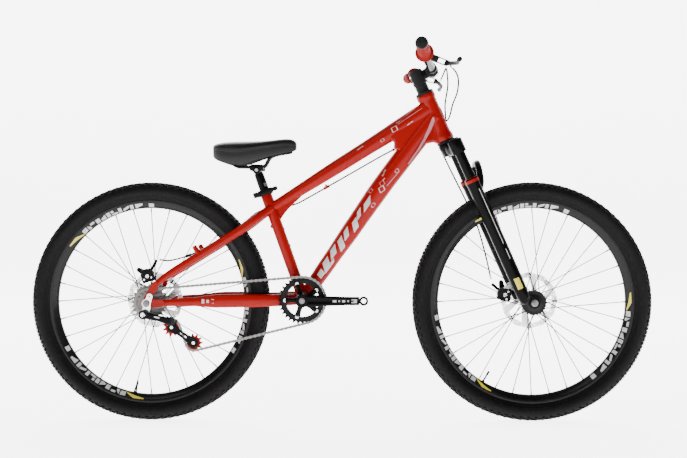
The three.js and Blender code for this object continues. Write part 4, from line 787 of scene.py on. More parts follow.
def top_path(count=40):
    places = [TOP_START, TOP_START.lerp(at_head(0.100), 0.5), at_head(0.100)]
    return smooth_path(places, count), spread([0.015, 0.0205, 0.026], count)


def on_tube(path, radii, share, around_it, flat, lift):
    """A place on an oval tube's surface; around_it is degrees from its outer side up."""
    place_at = share * (len(path) - 1)
    k = min(len(path) - 2, int(place_at))
    t = place_at - k
    centre = path[k].lerp(path[k + 1], t)
    radius = radii[k] * (1 - t) + radii[k + 1] * t
    along = (path[k + 1] - path[k]).normalized()
    up = along.cross(Y).normalized() * -1
    if up.z < 0:
        up = -up
    angle = math.radians(around_it)
    width, height = radius * flat, radius
    normal = (Y * (-math.cos(angle) / width) + up * (math.sin(angle) / height)).normalized()
    return centre + Y * (-width * math.cos(angle)) + up * (height * math.sin(angle)) + normal * lift


def tube_patch(shape, tube, corners, steps=10, side=RIGHT, lift=0.00035):
    """A thin marking on a tube. `corners` holds four (share along, degrees up) pairs in order."""
    path, radii, flat = tube
    rows = []
    for i in range(steps + 1):
        s = i / steps
        low = [corners[0][j] * (1 - s) + corners[1][j] * s for j in (0, 1)]
        high = [corners[3][j] * (1 - s) + corners[2][j] * s for j in (0, 1)]
        row = []
        for j in range(5):
            t = j / 4
            share = low[0] * (1 - t) + high[0] * t
            degrees = low[1] * (1 - t) + high[1] * t
            row.append((share, degrees))
        outer = [on_tube(path, radii, share, degrees, flat, lift) for share, degrees in row]
        under = [on_tube(path, radii, share, degrees, flat, -0.0005) for share, degrees in row]
        ring = outer + under[::-1]
        if side == LEFT:
            ring = [Vector((p.x, -p.y, p.z)) for p in ring]
        rows.append(ring)
    shape.rings(rows)


def tube_bar(shape, tube, start, end, width, side=RIGHT, steps=6):
    """A stripe on a tube between two (share, degrees) places; `width` is in share of length."""
    slope = Vector((end[0] - start[0], (end[1] - start[1]) / 300))
    across = Vector((-slope.y, slope.x)).normalized() * width / 2
    corner = lambda place, sign: (place[0] + sign * across.x, place[1] + sign * across.y * 300)
    tube_patch(shape, tube, [corner(start, -1), corner(end, -1), corner(end, 1), corner(start, 1)],
               steps, side)


def tube_ring(shape, tube, middle, reach, width, corners=4, side=RIGHT, turn=45, tall=300):
    """An outlined square or ring on a tube."""
    spots = [
        (middle[0] + reach * math.cos(math.radians(turn + 360 * k / corners)),
         middle[1] + reach * tall * math.sin(math.radians(turn + 360 * k / corners)))
        for k in range(corners)
    ]
    for k in range(corners):
        tube_bar(shape, tube, spots[k], spots[(k + 1) % corners], width, side,
                 steps=2 if corners > 6 else 5)


def main_tubes():
    path, radii = down_path()
    piece("down_tube_shell", Shape().tube(path, radii, sides=44, flat=0.92, guide=Y), "frame",
          RED_PAINT, ("down_tube",), crease=60)
    path, radii = top_path()
    piece("top_tube_shell", Shape().tube(path, radii, sides=40, flat=0.88, guide=Y), "frame",
          RED_PAINT, ("top_tube",), crease=60)
    # A smooth web fills the corner between top and down tubes behind the head tube.
    apex = at_head(0.0476, 0, -0.131)
    web = flat_shape([
        [(p.x, p.z) for p in (
            at_head(0.118, 0, -0.016), at_head(0.099, 0, -0.085), apex + Vector((-0.012, 0, 0.016)),
            apex + Vector((-0.002, 0, 0.010)), apex + Vector((0.001, 0, 0.002)),
            apex + Vector((0.0005, 0, -0.010)), apex + Vector((0.020, 0, -0.020)),
            at_head(0.020, 0, -0.060), at_head(0.014, 0, -0.030), at_head(0.006, 0, -0.022))],
    ], -0.0200, 0.0200, bevel=0.006)
    piece("head_web", web, "frame", RED_PAINT, crease=50)
    # A smooth collar stands for the weld at one end of the down tube.
    weld = Shape()
    path, radii = down_path()
    first, last, grow = 1, 3, 0.0016
    places = path[first:last + 1]
    weld.tube(places, [radii[first] + grow * (0.3 + 0.7 * math.sin(math.pi * i / (len(places) - 1)))
                       for i in range(len(places))], sides=40, flat=0.92, guide=Y)
    piece("down_tube_weld", weld, "frame", RED_PAINT, crease=60)
    seat = Shape()
    seat.tube([BRACKET + SEAT_UP * 0.012, BRACKET + SEAT_UP * 0.018, BRACKET + SEAT_UP * 0.034,
               BRACKET + SEAT_UP * 0.05, BRACKET + SEAT_UP * 0.18, SEAT_TOP - SEAT_UP * 0.090,
               SEAT_TOP - SEAT_UP * 0.060, SEAT_TOP - SEAT_UP * 0.0020, SEAT_TOP - SEAT_UP * 0.0006],
              [0.0158, 0.0159, 0.0159, 0.0159, 0.0159, 0.0159, 0.0160, 0.0160, 0.0150],
              sides=48, guide=Y)
    shell = Shape().turned([
        (0.0172, -0.0363), (0.0196, -0.0365), (0.0205, -0.0355), (0.0205, -0.0250),
        (0.0202, 0.0), (0.0205, 0.0250), (0.0205, 0.0355), (0.0196, 0.0365), (0.0172, 0.0363),
    ], BRACKET, sides=64)
    piece("seat_tube_shell", merge(seat, shell), "frame", RED_PAINT,
          ("seat_tube",), crease=50)
    bosses = Shape()
    back = Vector((-SEAT_UP.z, 0, SEAT_UP.x))
    place = BRACKET + SEAT_UP * 0.222 + back * 0.0145
    bosses.rod(place, place + back * 0.0045, 0.0058, 0.0045, sides=20, chamfer=0.0008)
    guide_places = [BRACKET + SEAT_UP * 0.155 - back * 0.0152, BRACKET + SEAT_UP * 0.205 - back * 0.0152]
    for place in guide_places:
        bosses.rod(place + back * 0.002, place - back * 0.0016, 0.0050, 0.0042, sides=20,
                   chamfer=0.0004)
    piece("seat_tube_bosses", bosses, "frame", RED_PAINT)
    corner = TOP_START
    curve = smooth_path([
        Vector((corner.x + 0.012, 0, corner.z - 0.056)), Vector((corner.x + 0.0285, 0, corner.z - 0.026)),
        Vector((corner.x + 0.052, 0, corner.z + 0.004)), Vector((corner.x + 0.080, 0, corner.z + 0.030)),
    ], 20)
    gusset_outline = [(p.x, p.z) for p in curve] + [(corner.x + 0.004, corner.z + 0.004)]
    piece("seat_gusset", flat_shape([gusset_outline], -0.0050, 0.0050, bevel=0.0015), "frame",
          RED_PAINT, crease=40)
    cartridge = Shape()
    for side in (LEFT, RIGHT):
        cartridge.turned([
            (0.0090, side * 0.0370), (0.0192, side * 0.0370), (0.0196, side * 0.0385),
            (0.0186, side * 0.0402), (0.0120, side * 0.0405), (0.0090, side * 0.0398),
        ], BRACKET, sides=48)
        for k in range(16):
            spot = around(BRACKET, k * 22.5, 0.0188, side * 0.0388)
            out = around(Vector(), k * 22.5, 1)
            cartridge.box(spot, (0.0014, 0.0024, 0.0024), (out, Y, out.cross(Y)))
    piece("bracket_cups", cartridge, "frame", BLACK_ANODISED,
          ("bottom_bracket_cartridge",), crease=35)


def stays():
    upper, lower = Shape(), Shape()
    for side in (LEFT, RIGHT):
        places = [Vector((-0.196, side * 0.011, 0.600)), Vector((-0.240, side * 0.034, 0.567)),
                  Vector((-0.283, side * 0.041, 0.536)), Vector((-0.400, side * 0.052, 0.463)),
                  Vector((-0.486, side * 0.060, 0.409)),
                  Vector((SEATSTAY_FOOT.x + 0.004, side * 0.0655, SEATSTAY_FOOT.z + 0.003))]
        path = smooth_path(places, 44)
        upper.tube(path, spread([0.0122, 0.0124, 0.0122, 0.0118, 0.0112, 0.0086], 44), sides=28,
                   flat=0.66, guide=Y)
        places = [Vector((BRACKET.x, side * 0.024, BRACKET.z)), Vector((-0.178, side * 0.031, 0.341)),
                  Vector((-0.232, side * 0.041, 0.341)), Vector((-0.300, side * 0.047, 0.341)),
                  Vector((-0.440, side * 0.058, 0.338)),
                  Vector((CHAINSTAY_FOOT.x + 0.004, side * 0.0662, CHAINSTAY_FOOT.z))]
        path = smooth_path(places, 44)
        lower.tube(path, spread([0.014, 0.0168, 0.0186, 0.0186, 0.0122, 0.0096], 44), sides=28,
                   flat=0.44, guide=Y)
    upper.rod(Vector((-0.256, -0.036, 0.556)), Vector((-0.256, 0.036, 0.556)), 0.0075, sides=28)
    lower.rod(Vector((-0.184, -0.028, 0.341)), Vector((-0.184, 0.028, 0.341)), 0.0086, sides=28)
    piece("seatstay_pair", upper, "frame", RED_PAINT, ("seatstays",), crease=60)
    piece("chainstay_pair", lower, "frame", RED_PAINT, ("chainstays",), crease=60)
    # Threaded bosses stand on the seatstays, with a bolt in the upper pair.
    bosses, bolts = Shape(), Shape()
    stay = (Vector((-0.283, 0, 0.536)) - Vector((-0.400, 0, 0.463))).normalized()
    out = Vector((-stay.z, 0, stay.x))
    for side in (LEFT, RIGHT):
        base = Vector((-0.392, side * 0.0512, 0.468))
        bosses.rod(base + out * 0.006, base + out * 0.0290, 0.0080, 0.0066, sides=28,
                   chamfer=0.0010)
        bolts.hexagon(base + out * 0.0285, out, 0.0090, 0.0030)
        bosses.rod(Vector((-0.272, side * 0.0400, 0.5425)), Vector((-0.278, side * 0.0400, 0.5250)),
                   0.0048, 0.0042, sides=20, chamfer=0.0006)
    piece("stay_bosses", bosses, "frame", RED_PAINT)
    piece("stay_bolts", bolts, "frame", STEEL, crease=30)


def capsule(start, end, first, last, count=14):
    """An outline round two circles of different radii."""
    across = (end - start).normalized()
    angle = math.atan2(across.z, across.x)
    points = []
    for centre, radius, begin in ((end, last, angle - math.pi / 2), (start, first, angle + math.pi / 2)):
        for k in range(count + 1):
            turn = begin + math.pi * k / count
            points.append((centre.x + radius * math.cos(turn), centre.z + radius * math.sin(turn)))
    return points


def dropouts():
    # One plate each side, with a waist between the two stays and a round hole for the axle.
    axle = REAR_AXLE
    for name, side in (("right", RIGHT), ("left", LEFT)):
        low, high = sorted((side * (DROPOUT_INNER + 0.0001), side * (DROPOUT_INNER + 0.0049)))
        outline = [
            around(axle, 250, 0.0148), around(axle, 225, 0.0149), around(axle, 200, 0.0149),
            around(axle, 175, 0.0148), around(axle, 150, 0.0148), around(axle, 128, 0.0149),
            SEATSTAY_FOOT + Vector((-0.0085, 0, 0.0020)), SEATSTAY_FOOT + Vector((-0.0060, 0, 0.0062)),
            SEATSTAY_FOOT + Vector((0.0, 0, 0.0088)), SEATSTAY_FOOT + Vector((0.0060, 0, 0.0060)),
            SEATSTAY_FOOT + Vector((0.0085, 0, 0.0)), SEATSTAY_FOOT + Vector((0.0066, 0, -0.012)),
            axle + Vector((0.0142, 0, 0.0205)), axle + Vector((0.0165, 0, 0.0120)),
            CHAINSTAY_FOOT + Vector((-0.012, 0, 0.0096)), CHAINSTAY_FOOT + Vector((0.0, 0, 0.0098)),
            CHAINSTAY_FOOT + Vector((0.0070, 0, 0.0068)), CHAINSTAY_FOOT + Vector((0.0098, 0, 0.0)),
            CHAINSTAY_FOOT + Vector((0.0070, 0, -0.0068)), CHAINSTAY_FOOT + Vector((0.0, 0, -0.0098)),
            axle + Vector((0.018, 0, -0.0112)), around(axle, 300, 0.0148), around(axle, 275, 0.0149),
        ]
        shape = flat_shape([[(p.x, p.z) for p in outline], circle(axle, 0.0052, 32)], low, high,
                           bevel=0.0006)
        piece(f"dropout_{name}_plate", shape, "frame", RED_PAINT,
              (f"dropout_{name}",), crease=30)


def wall_bar(shape, places, width, y, side, thick=0.0010):
    """A flat stripe standing at a distance from the middle plane, through (x, z) places."""
    rows = []
    for i, (x, z) in enumerate(places):
        ahead, behind = places[min(i + 1, len(places) - 1)], places[max(i - 1, 0)]
        along = Vector((ahead[0] - behind[0], 0, ahead[1] - behind[1])).normalized()
        across = Vector((-along.z, 0, along.x)) * (width[i] / 2)
        middle = Vector((x, side * y, z))
        out = Y * (side * thick)
        rows.append([middle - across, middle + across, middle + across + out,
                     middle - across + out])
    shape.rings(rows)


def cross(shape, tube, spot, reach, width, side):
    """Two short bars crossing on a tube."""
    tall = reach * 420
    tube_bar(shape, tube, (spot[0] - reach, spot[1] - tall), (spot[0] + reach, spot[1] + tall),
             width, side, 2)
    tube_bar(shape, tube, (spot[0] - reach, spot[1] + tall), (spot[0] + reach, spot[1] - tall),
             width, side, 2)


def frame_marks():
    """Generic white and pink shapes on the tubes: slanted blocks, squares, stripes and rings."""
    down_places, down_radii = down_path()
    top_places, top_radii = top_path()
    down = (down_places, down_radii, 0.92)
    top = (top_places, top_radii, 0.88)
    white, pink = Shape(), Shape()
    for side in (LEFT, RIGHT):
        # A row of large slanted blocks along the down tube.
        for start, finish, low, high in (
            (0.150, 0.190, -30, 34), (0.215, 0.255, -6, 40), (0.268, 0.300, -30, 34),
            (0.318, 0.350, -8, 34), (0.372, 0.406, -26, 22), (0.424, 0.452, 2, 34),
            (0.470, 0.520, -4, 26),
        ):
            lean = 0.030
            tube_patch(white, down, [(start, low), (start + lean, high),
                                     (finish + lean, high), (finish, low)], 12, side)
        for start, finish, low, high in ((0.190, 0.216, -30, -12), (0.300, 0.320, 16, 34),
                                         (0.406, 0.426, 10, 22)):
            tube_patch(white, down, [(start, low), (start + 0.012, high), (finish + 0.012, high),
                                     (finish, low)], 8, side)
        tube_ring(pink, down, (0.520, -24), 0.010, 0.0055, 16, side, turn=0, tall=1100)
        tube_ring(pink, down, (0.566, 38), 0.012, 0.0036, 4, side, turn=45, tall=1100)
        tube_ring(white, down, (0.600, -10), 0.017, 0.0042, 4, side, turn=20, tall=1100)
        tube_ring(pink, down, (0.622, 8), 0.014, 0.0036, 4, side, turn=20, tall=1100)
        tube_bar(pink, down, (0.625, -22), (0.712, -30), 0.012, side, 12)
        tube_ring(pink, down, (0.705, -16), 0.009, 0.0050, 16, side, turn=0, tall=1100)
        for spot in ((0.655, 34), (0.672, 40), (0.640, 14)):
            cross(white, down, spot, 0.0070, 0.0045, side)
        tube_patch(white, down, [(0.120, -24), (0.126, 20), (0.158, 20), (0.152, -24)], 8, side)
        # A long pink stripe sweeps down from the head tube over the down tube.
        wall_bar(pink, [(0.2580, 0.8530), (0.2570, 0.8430), (0.2480, 0.8200), (0.2330, 0.7900),
                        (0.2160, 0.7620), (0.1880, 0.7220)],
                 [0.004, 0.010, 0.010, 0.007, 0.005, 0.003], 0.0268, side)
        # The top tube carries smaller ones near the head.
        for k in range(7):
            tube_bar(pink if k % 2 else white, top, (0.800 + 0.019 * k, 36), (0.822 + 0.019 * k, 36),
                     0.0060, side, 3)
        tube_bar(pink, top, (0.805, 22), (0.955, 26), 0.010, side, 12)
        tube_ring(white, top, (0.775, 8), 0.020, 0.0045, 4, side, turn=38, tall=1100)
        tube_ring(pink, top, (0.690, -14), 0.010, 0.0055, 16, side, turn=0, tall=1100)
        for spot in ((0.560, 26), (0.580, 28), (0.850, -16), (0.870, -14)):
            cross(white, top, spot, 0.0075, 0.0045, side)
        # Short bars near the stays' middles.
        for k in range(5):
            x = -0.330 - 0.013 * k
            y = side * (0.0482 + 0.0011 * k + 0.0078)
            white.box(Vector((x, y, 0.3405)), (0.0070, 0.0010, 0.0085 if k % 2 else 0.0120))
    piece("frame_white_marks", white, "frame", WHITE_PRINT_AND_HIGHLIGHT, crease=30)
    piece("frame_pink_marks", pink, "frame", PINK_DECAL, crease=30)
# ---------- fork ----------
def leg_place(side, up):
    return at_head(up, side * STANCHION_SPREAD, STANCHION_OFFSET)


def leg_turned(profile, side):
    return Shape().turned(profile, leg_place(side, 0), HEAD_UP, sides=56)


def fork_uppers():
    crown = Shape()
    # The crown is a bridge with rounded ends, thicker in the middle, drawn as an oval tube.
    places = [at_head(CROWN_BOTTOM + 0.018, -0.060, 0.0155),
              at_head(CROWN_BOTTOM + 0.0195, -0.040, 0.012),
              at_head(CROWN_BOTTOM + 0.0215, -0.020, 0.006), at_head(CROWN_BOTTOM + 0.0215, 0, 0.004),
              at_head(CROWN_BOTTOM + 0.0215, 0.020, 0.006), at_head(CROWN_BOTTOM + 0.0195, 0.040, 0.012),
              at_head(CROWN_BOTTOM + 0.018, 0.060, 0.0155)]
    path = smooth_path(places, 36)
    crown.tube(path, spread([0.0150, 0.0168, 0.0195, 0.0205, 0.0195, 0.0168, 0.0150], 36), sides=32,
               flat=0.92, guide=HEAD_UP, power=0.75)
    crown.turned([(0.0135, CROWN_TOP - 0.0005), (0.0245, CROWN_TOP), (0.0255, CROWN_TOP - 0.0012),
                  (0.0255, CROWN_TOP - 0.0100), (0.0235, CROWN_TOP - 0.0200),
                  (0.0205, CROWN_BOTTOM + 0.007), (0.0135, CROWN_BOTTOM + 0.0065)],
                 HEAD_BOTTOM, HEAD_UP, sides=56)
    for side in (LEFT, RIGHT):
        crown.turned([(0.0143, CROWN_BOTTOM + 0.0001), (0.0195, CROWN_BOTTOM + 0.0005),
                      (0.0203, CROWN_BOTTOM + 0.0030), (0.0203, CROWN_TOP - 0.0050),
                      (0.0192, CROWN_TOP - 0.0020), (0.0165, CROWN_TOP - 0.0010),
                      (0.0143, CROWN_TOP - 0.0012)], leg_place(side, 0), HEAD_UP, sides=56)
    crown.rod(at_head(CROWN_TOP - 0.005), at_head(0.2105), 0.0142, sides=40)
    piece("fork_crown_bridge", crown, "fork_upper", BLACK_GLOSS, ("fork_crown",),
          crease=40)
    caps = Shape()
    for side in (LEFT, RIGHT):
        caps.turned([(0.0, CROWN_TOP - 0.0030), (0.0128, CROWN_TOP - 0.0030),
                     (0.0128, CROWN_TOP + 0.0016), (0.0116, CROWN_TOP + 0.0028),
                     (0.0060, CROWN_TOP + 0.0028), (0.0052, CROWN_TOP + 0.0014),
                     (0.0, CROWN_TOP + 0.0014)], leg_place(side, 0), HEAD_UP, sides=32)
    piece("fork_caps", caps, "fork_upper", BLACK_ANODISED, crease=30)
    for name, side in (("right", RIGHT), ("left", LEFT)):
        tube = leg_turned([(0.0120, LEG_TOP - 0.190), (0.0139, LEG_TOP - 0.190),
                           (0.0140, LEG_TOP - 0.188), (0.0140, CROWN_TOP - 0.004),
                           (0.0120, CROWN_TOP - 0.004)], side)
        piece(f"stanchion_{name}_tube", tube, "fork_upper", BLACK_GLOSS,
              (f"stanchion_{name}",), crease=40)


def fork_lowers():
    leg_bottom = AXLE_UP + 0.022
    legs, rings = Shape(), Shape()
    for side in (LEFT, RIGHT):
        legs = merge(legs, leg_turned([
            (0.0143, LEG_TOP - 0.0010), (0.0188, LEG_TOP - 0.0008), (0.0199, LEG_TOP - 0.0030),
            (0.0200, LEG_TOP - 0.0165), (0.0186, LEG_TOP - 0.0220), (0.0184, LEG_TOP - 0.060),
            (0.0185, LEG_TOP - 0.160), (0.0184, leg_bottom + 0.040), (0.0178, leg_bottom + 0.020),
            (0.0168, leg_bottom + 0.004), (0.0140, leg_bottom - 0.006), (0.0085, leg_bottom - 0.0130),
            (0.0, leg_bottom - 0.0150), (0.0, leg_bottom + 0.080), (0.0143, leg_bottom + 0.082),
        ], side))
        rings = merge(rings, leg_turned([
            (0.0143, LEG_TOP - 0.0012), (0.0172, LEG_TOP - 0.0011), (0.0176, LEG_TOP + 0.0002),
            (0.0172, LEG_TOP + 0.0006), (0.0160, LEG_TOP + 0.0008), (0.0143, LEG_TOP + 0.0008),
        ], side))
        # A red band rings each leg just under its wiper.
        rings = merge(rings, leg_turned([
            (0.0150, LEG_TOP - 0.0045), (0.02005, LEG_TOP - 0.0045), (0.0201, LEG_TOP - 0.0050),
            (0.0201, LEG_TOP - 0.0125), (0.02005, LEG_TOP - 0.0130), (0.0150, LEG_TOP - 0.0130),
        ], side))
    path = smooth_path([
        at_head(LEG_TOP - 0.042, -0.056, 0.022), at_head(LEG_TOP - 0.022, -0.0555, 0.036),
        at_head(LEG_TOP + 0.006, -0.049, 0.046),
        at_head(LEG_TOP + 0.024, -0.034, 0.0515), at_head(LEG_TOP + 0.0295, -0.017, 0.0535),
        at_head(LEG_TOP + 0.0295, 0.017, 0.0535),
        at_head(LEG_TOP + 0.024, 0.034, 0.0515), at_head(LEG_TOP + 0.006, 0.049, 0.046),
        at_head(LEG_TOP - 0.022, 0.0555, 0.036), at_head(LEG_TOP - 0.042, 0.056, 0.022)], 60)
    arch = Shape().tube(path, spread([0.0100, 0.0108, 0.0102, 0.0096, 0.0096, 0.0096, 0.0102, 0.0108,
                                      0.0100], 60), sides=28, flat=0.9, guide=HEAD_FORWARD, power=0.8)
    piece("fork_arch", arch, "fork_lower", BLACK_GLOSS, crease=50)
    feet = Shape()
    foot = at_head(leg_bottom + 0.014, 0, STANCHION_OFFSET)
    for side in (LEFT, RIGHT):
        low, high = sorted((side * 0.0504, side * 0.0569))
        across = HEAD_FORWARD * 0.0148
        outline = [foot - across]
        outline += [around(FRONT_AXLE, a, 0.0138) for a in range(160, 401, 16)]
        outline += [foot + across]
        feet = merge(feet, flat_shape([[(p.x, p.z) for p in outline], circle(FRONT_AXLE, 0.0052)],
                                      low, high, bevel=0.0012))
    piece("fork_legs", merge(legs, feet), "fork_lower", BLACK_GLOSS,
          ("fork_lowers",), crease=40)
    piece("fork_wipers", rings, "fork_lower", RED_PLASTIC, crease=40)
    # Thin pale lines along the outer faces of the legs are a painted highlight, and a plain yellow label
    # sits low down.
    lines, label = Shape(), Shape()
    for side in (LEFT, RIGHT):
        guide = Y * side
        for start, end, degrees in ((LEG_TOP - 0.035, LEG_TOP - 0.200, 18),
                                    (LEG_TOP - 0.215, LEG_TOP - 0.245, 18)):
            rows = []
            for i in range(13):
                up = start + (end - start) * i / 12
                ring = []
                for turn, radius in ((degrees, 0.01865), (degrees + 7, 0.01865),
                                     (degrees + 7, 0.0178), (degrees, 0.0178)):
                    a = math.radians(turn)
                    ring.append(leg_place(side, up) + guide * (radius * math.cos(a))
                                + HEAD_FORWARD * (radius * math.sin(a)))
                rows.append(ring)
            lines.rings(rows)
        rows = []
        for i in range(9):
            up = AXLE_UP + 0.087 - 0.032 * i / 8
            ring = []
            for k in range(9):
                a = math.radians(-24 + 48 * k / 8)
                ring.append(leg_place(side, up) + guide * (0.01868 * math.cos(a))
                            + HEAD_FORWARD * (0.01868 * math.sin(a)))
            for k in range(9):
                a = math.radians(24 - 48 * k / 8)
                ring.append(leg_place(side, up) + guide * (0.0178 * math.cos(a))
                            + HEAD_FORWARD * (0.0178 * math.sin(a)))
            rows.append(ring)
        label.rings(rows)
    # The pale lines on the legs are a painted highlight, made in the white print material.
    piece("fork_lines", lines, "fork_lower", WHITE_PRINT_AND_HIGHLIGHT, crease=30)
    piece("fork_labels", label, "fork_lower", YELLOW_DECAL, crease=30)


# ---------- cockpit ----------
BAR_CENTRE = at_head(0.1946, 0, 0.0435)
BAR_HALF = 0.345
GRIP_INNER = 0.225


def bar_places(side):
    return [
        Vector((BAR_CENTRE.x, side * 0.040, BAR_CENTRE.z)),
        Vector((BAR_CENTRE.x - 0.006, side * 0.060, BAR_CENTRE.z + 0.003)),
        Vector((BAR_CENTRE.x - 0.029, side * 0.190, BAR_CENTRE.z + 0.013)),
        Vector((BAR_CENTRE.x - 0.049, side * BAR_HALF, BAR_CENTRE.z + 0.023)),
    ]


def on_bar(side, reach):
    places = bar_places(side)
    return places[2].lerp(places[3], (reach - 0.190) / (BAR_HALF - 0.190))


def cockpit():
    left, right = bar_places(LEFT), bar_places(RIGHT)
    path = smooth_path(right[::-1], 40)[:-1] + smooth_path(left, 40)
    piece("handlebar_tube", Shape().tube(path, 0.0110, sides=32, guide=Z), "fork_upper",
          BLACK_GLOSS, ("handlebar",), crease=60)
    swell = Shape().turned([
        (0.0104, -0.0480), (0.0112, -0.0470), (0.0126, -0.0360), (0.0127, -0.0300),
        (0.0127, 0.0300), (0.0126, 0.0360), (0.0112, 0.0470), (0.0104, 0.0480),
    ], BAR_CENTRE, sides=40)
    piece("handlebar_middle", swell, "fork_upper", BLACK_GLOSS, crease=50)
    spacers = Shape()
    for low, high in ((0.1484, 0.1532), (0.1535, 0.1632), (0.1635, 0.1712)):
        spacers.turned([(0.0147, low), (0.0174, low), (0.0178, low + 0.0004),
                        (0.0178, high - 0.0004), (0.0174, high), (0.0147, high)],
                       HEAD_BOTTOM, HEAD_UP, sides=56)
    piece("spacer_stack", spacers, "fork_upper", BLACK_ANODISED,
          ("headset_spacers",), crease=30)
    stem()
    for name, side in (("right", RIGHT), ("left", LEFT)):
        grip(name, side)
        perch(name, side)
        brake_lever(name, side)


def stem():
    low, high = 0.1716, 0.2116
    body = Shape().turned([
        (0.0147, low), (0.0188, low), (0.0197, low + 0.0010), (0.0197, high - 0.0010),
        (0.0188, high), (0.0147, high)], HEAD_BOTTOM, HEAD_UP, sides=56)
    start = at_head(0.1916, 0, 0.010)
    reach = BAR_CENTRE - HEAD_FORWARD * 0.0085
    path = [start.lerp(reach, i / 8) for i in range(9)]
    body.tube(path, [0.0150 - 0.0016 * math.sin(math.pi * i / 8) for i in range(9)], sides=40,
              flat=1.1, guide=Y, power=0.7)
    ring = Shape()
    rows = []
    for i in range(31):
        angle = math.radians(92 + 176 * i / 30)
        out = HEAD_FORWARD * math.cos(angle) + HEAD_UP * math.sin(angle)
        rows.append([BAR_CENTRE + out * r + Y * y for r, y in (
            (0.0130, -0.0215), (0.0176, -0.0215), (0.0186, -0.0200), (0.0186, 0.0200),
            (0.0176, 0.0215), (0.0130, 0.0215))])
    ring.rings(rows)
    piece("stem_body", merge(body, ring), "fork_upper", BLACK_ANODISED, ("stem",),
          crease=38)
    face = Shape()
    rows = []
    for i in range(31):
        angle = math.radians(-88 + 176 * i / 30)
        out = HEAD_FORWARD * math.cos(angle) + HEAD_UP * math.sin(angle)
        thick = 0.0186 - (0.0022 * max(0, math.cos(angle) - 0.75) * 4)
        rows.append([BAR_CENTRE + out * r + Y * y for r, y in (
            (0.0130, -0.0215), (thick - 0.001, -0.0215), (thick, -0.0205), (thick, -0.0105),
            (thick - 0.002, -0.0085), (thick - 0.002, 0.0085), (thick, 0.0105), (thick, 0.0205),
            (thick - 0.001, 0.0215), (0.0130, 0.0215))])
    face.rings(rows)
    piece("stem_face", face, "fork_upper", BLACK_ANODISED, ("stem_faceplate",),
          crease=38)
    bolts = Shape()
    for side in (LEFT, RIGHT):
        for up in (1, -1):
            place = BAR_CENTRE + HEAD_UP * (up * 0.0148) + Y * (side * 0.0150)
            bolts.rod(place + HEAD_FORWARD * 0.004, place + HEAD_FORWARD * 0.0148, 0.0038,
                      sides=24, chamfer=0.0007)
            bolts.rod(place + HEAD_FORWARD * 0.0146, place + HEAD_FORWARD * 0.0150, 0.0019, sides=6)
    cap = Shape().turned([(0.0, high), (0.0166, high), (0.0168, high + 0.0018),
                          (0.0158, high + 0.0029), (0.0060, high + 0.0029),
                          (0.0052, high + 0.0014), (0.0, high + 0.0014)],
                         HEAD_BOTTOM, HEAD_UP, sides=56)
    for up in (0.1826, 0.2006):
        place = at_head(up, -0.0100, -0.0175)
        bolts.rod(place, place + Y * 0.020, 0.0028, sides=20, chamfer=0.0005)
    piece("stem_cap", cap, "fork_upper", BLACK_ANODISED, crease=30)
    piece("stem_bolts", bolts, "fork_upper", STEEL, crease=30)


def grip(name, side):
    inner, outer = on_bar(side, GRIP_INNER), on_bar(side, BAR_HALF + 0.002)
    along = (outer - inner).normalized()
    length = (outer - inner).length
    bore = 0.0114
    profile = [(bore, 0.0002), (0.0205, 0.0002), (0.0240, 0.0010), (0.0245, 0.0022),
               (0.0238, 0.0036), (0.0190, 0.0048), (0.0164, 0.0075)]
    ridges = 26
    ridge_start, ridge_end = 0.010, length - 0.0150
    for k in range(ridges):
        at = ridge_start + (ridge_end - ridge_start) * k / ridges
        pitch = (ridge_end - ridge_start) / ridges
        swell = 0.0005 * math.sin(math.pi * k / ridges)
        profile += [(0.0150 + swell, at), (0.0162 + swell, at + pitch * 0.28),
                    (0.0162 + swell, at + pitch * 0.62), (0.0150 + swell, at + pitch * 0.9)]
    profile += [(0.0160, length - 0.0140), (0.0165, length - 0.0120), (0.0165, length - 0.0070),
                (bore, length - 0.0070)]
    piece(f"grip_{name}_sleeve", Shape().turned(profile, inner, along, sides=48), "fork_upper",
          GRIP_RUBBER, (f"grip_{name}",), crease=35)
    plug = [(0.0, length), (0.0120, length - 0.0002), (0.0152, length - 0.0014),
            (0.0160, length - 0.0032), (0.0160, length - 0.0066), (0.0, length - 0.0066)]
    piece(f"bar_plug_{name}", Shape().turned(plug, inner, along, sides=48), "fork_upper",
          BLACK_PLASTIC, crease=35)


LEVER_AXIS = Vector((0.38, 0, 0.925)).normalized()


def lever_pivot(side):
    return joint_place("brake_lever_right_pull" if side == RIGHT else "brake_lever_left_pull")


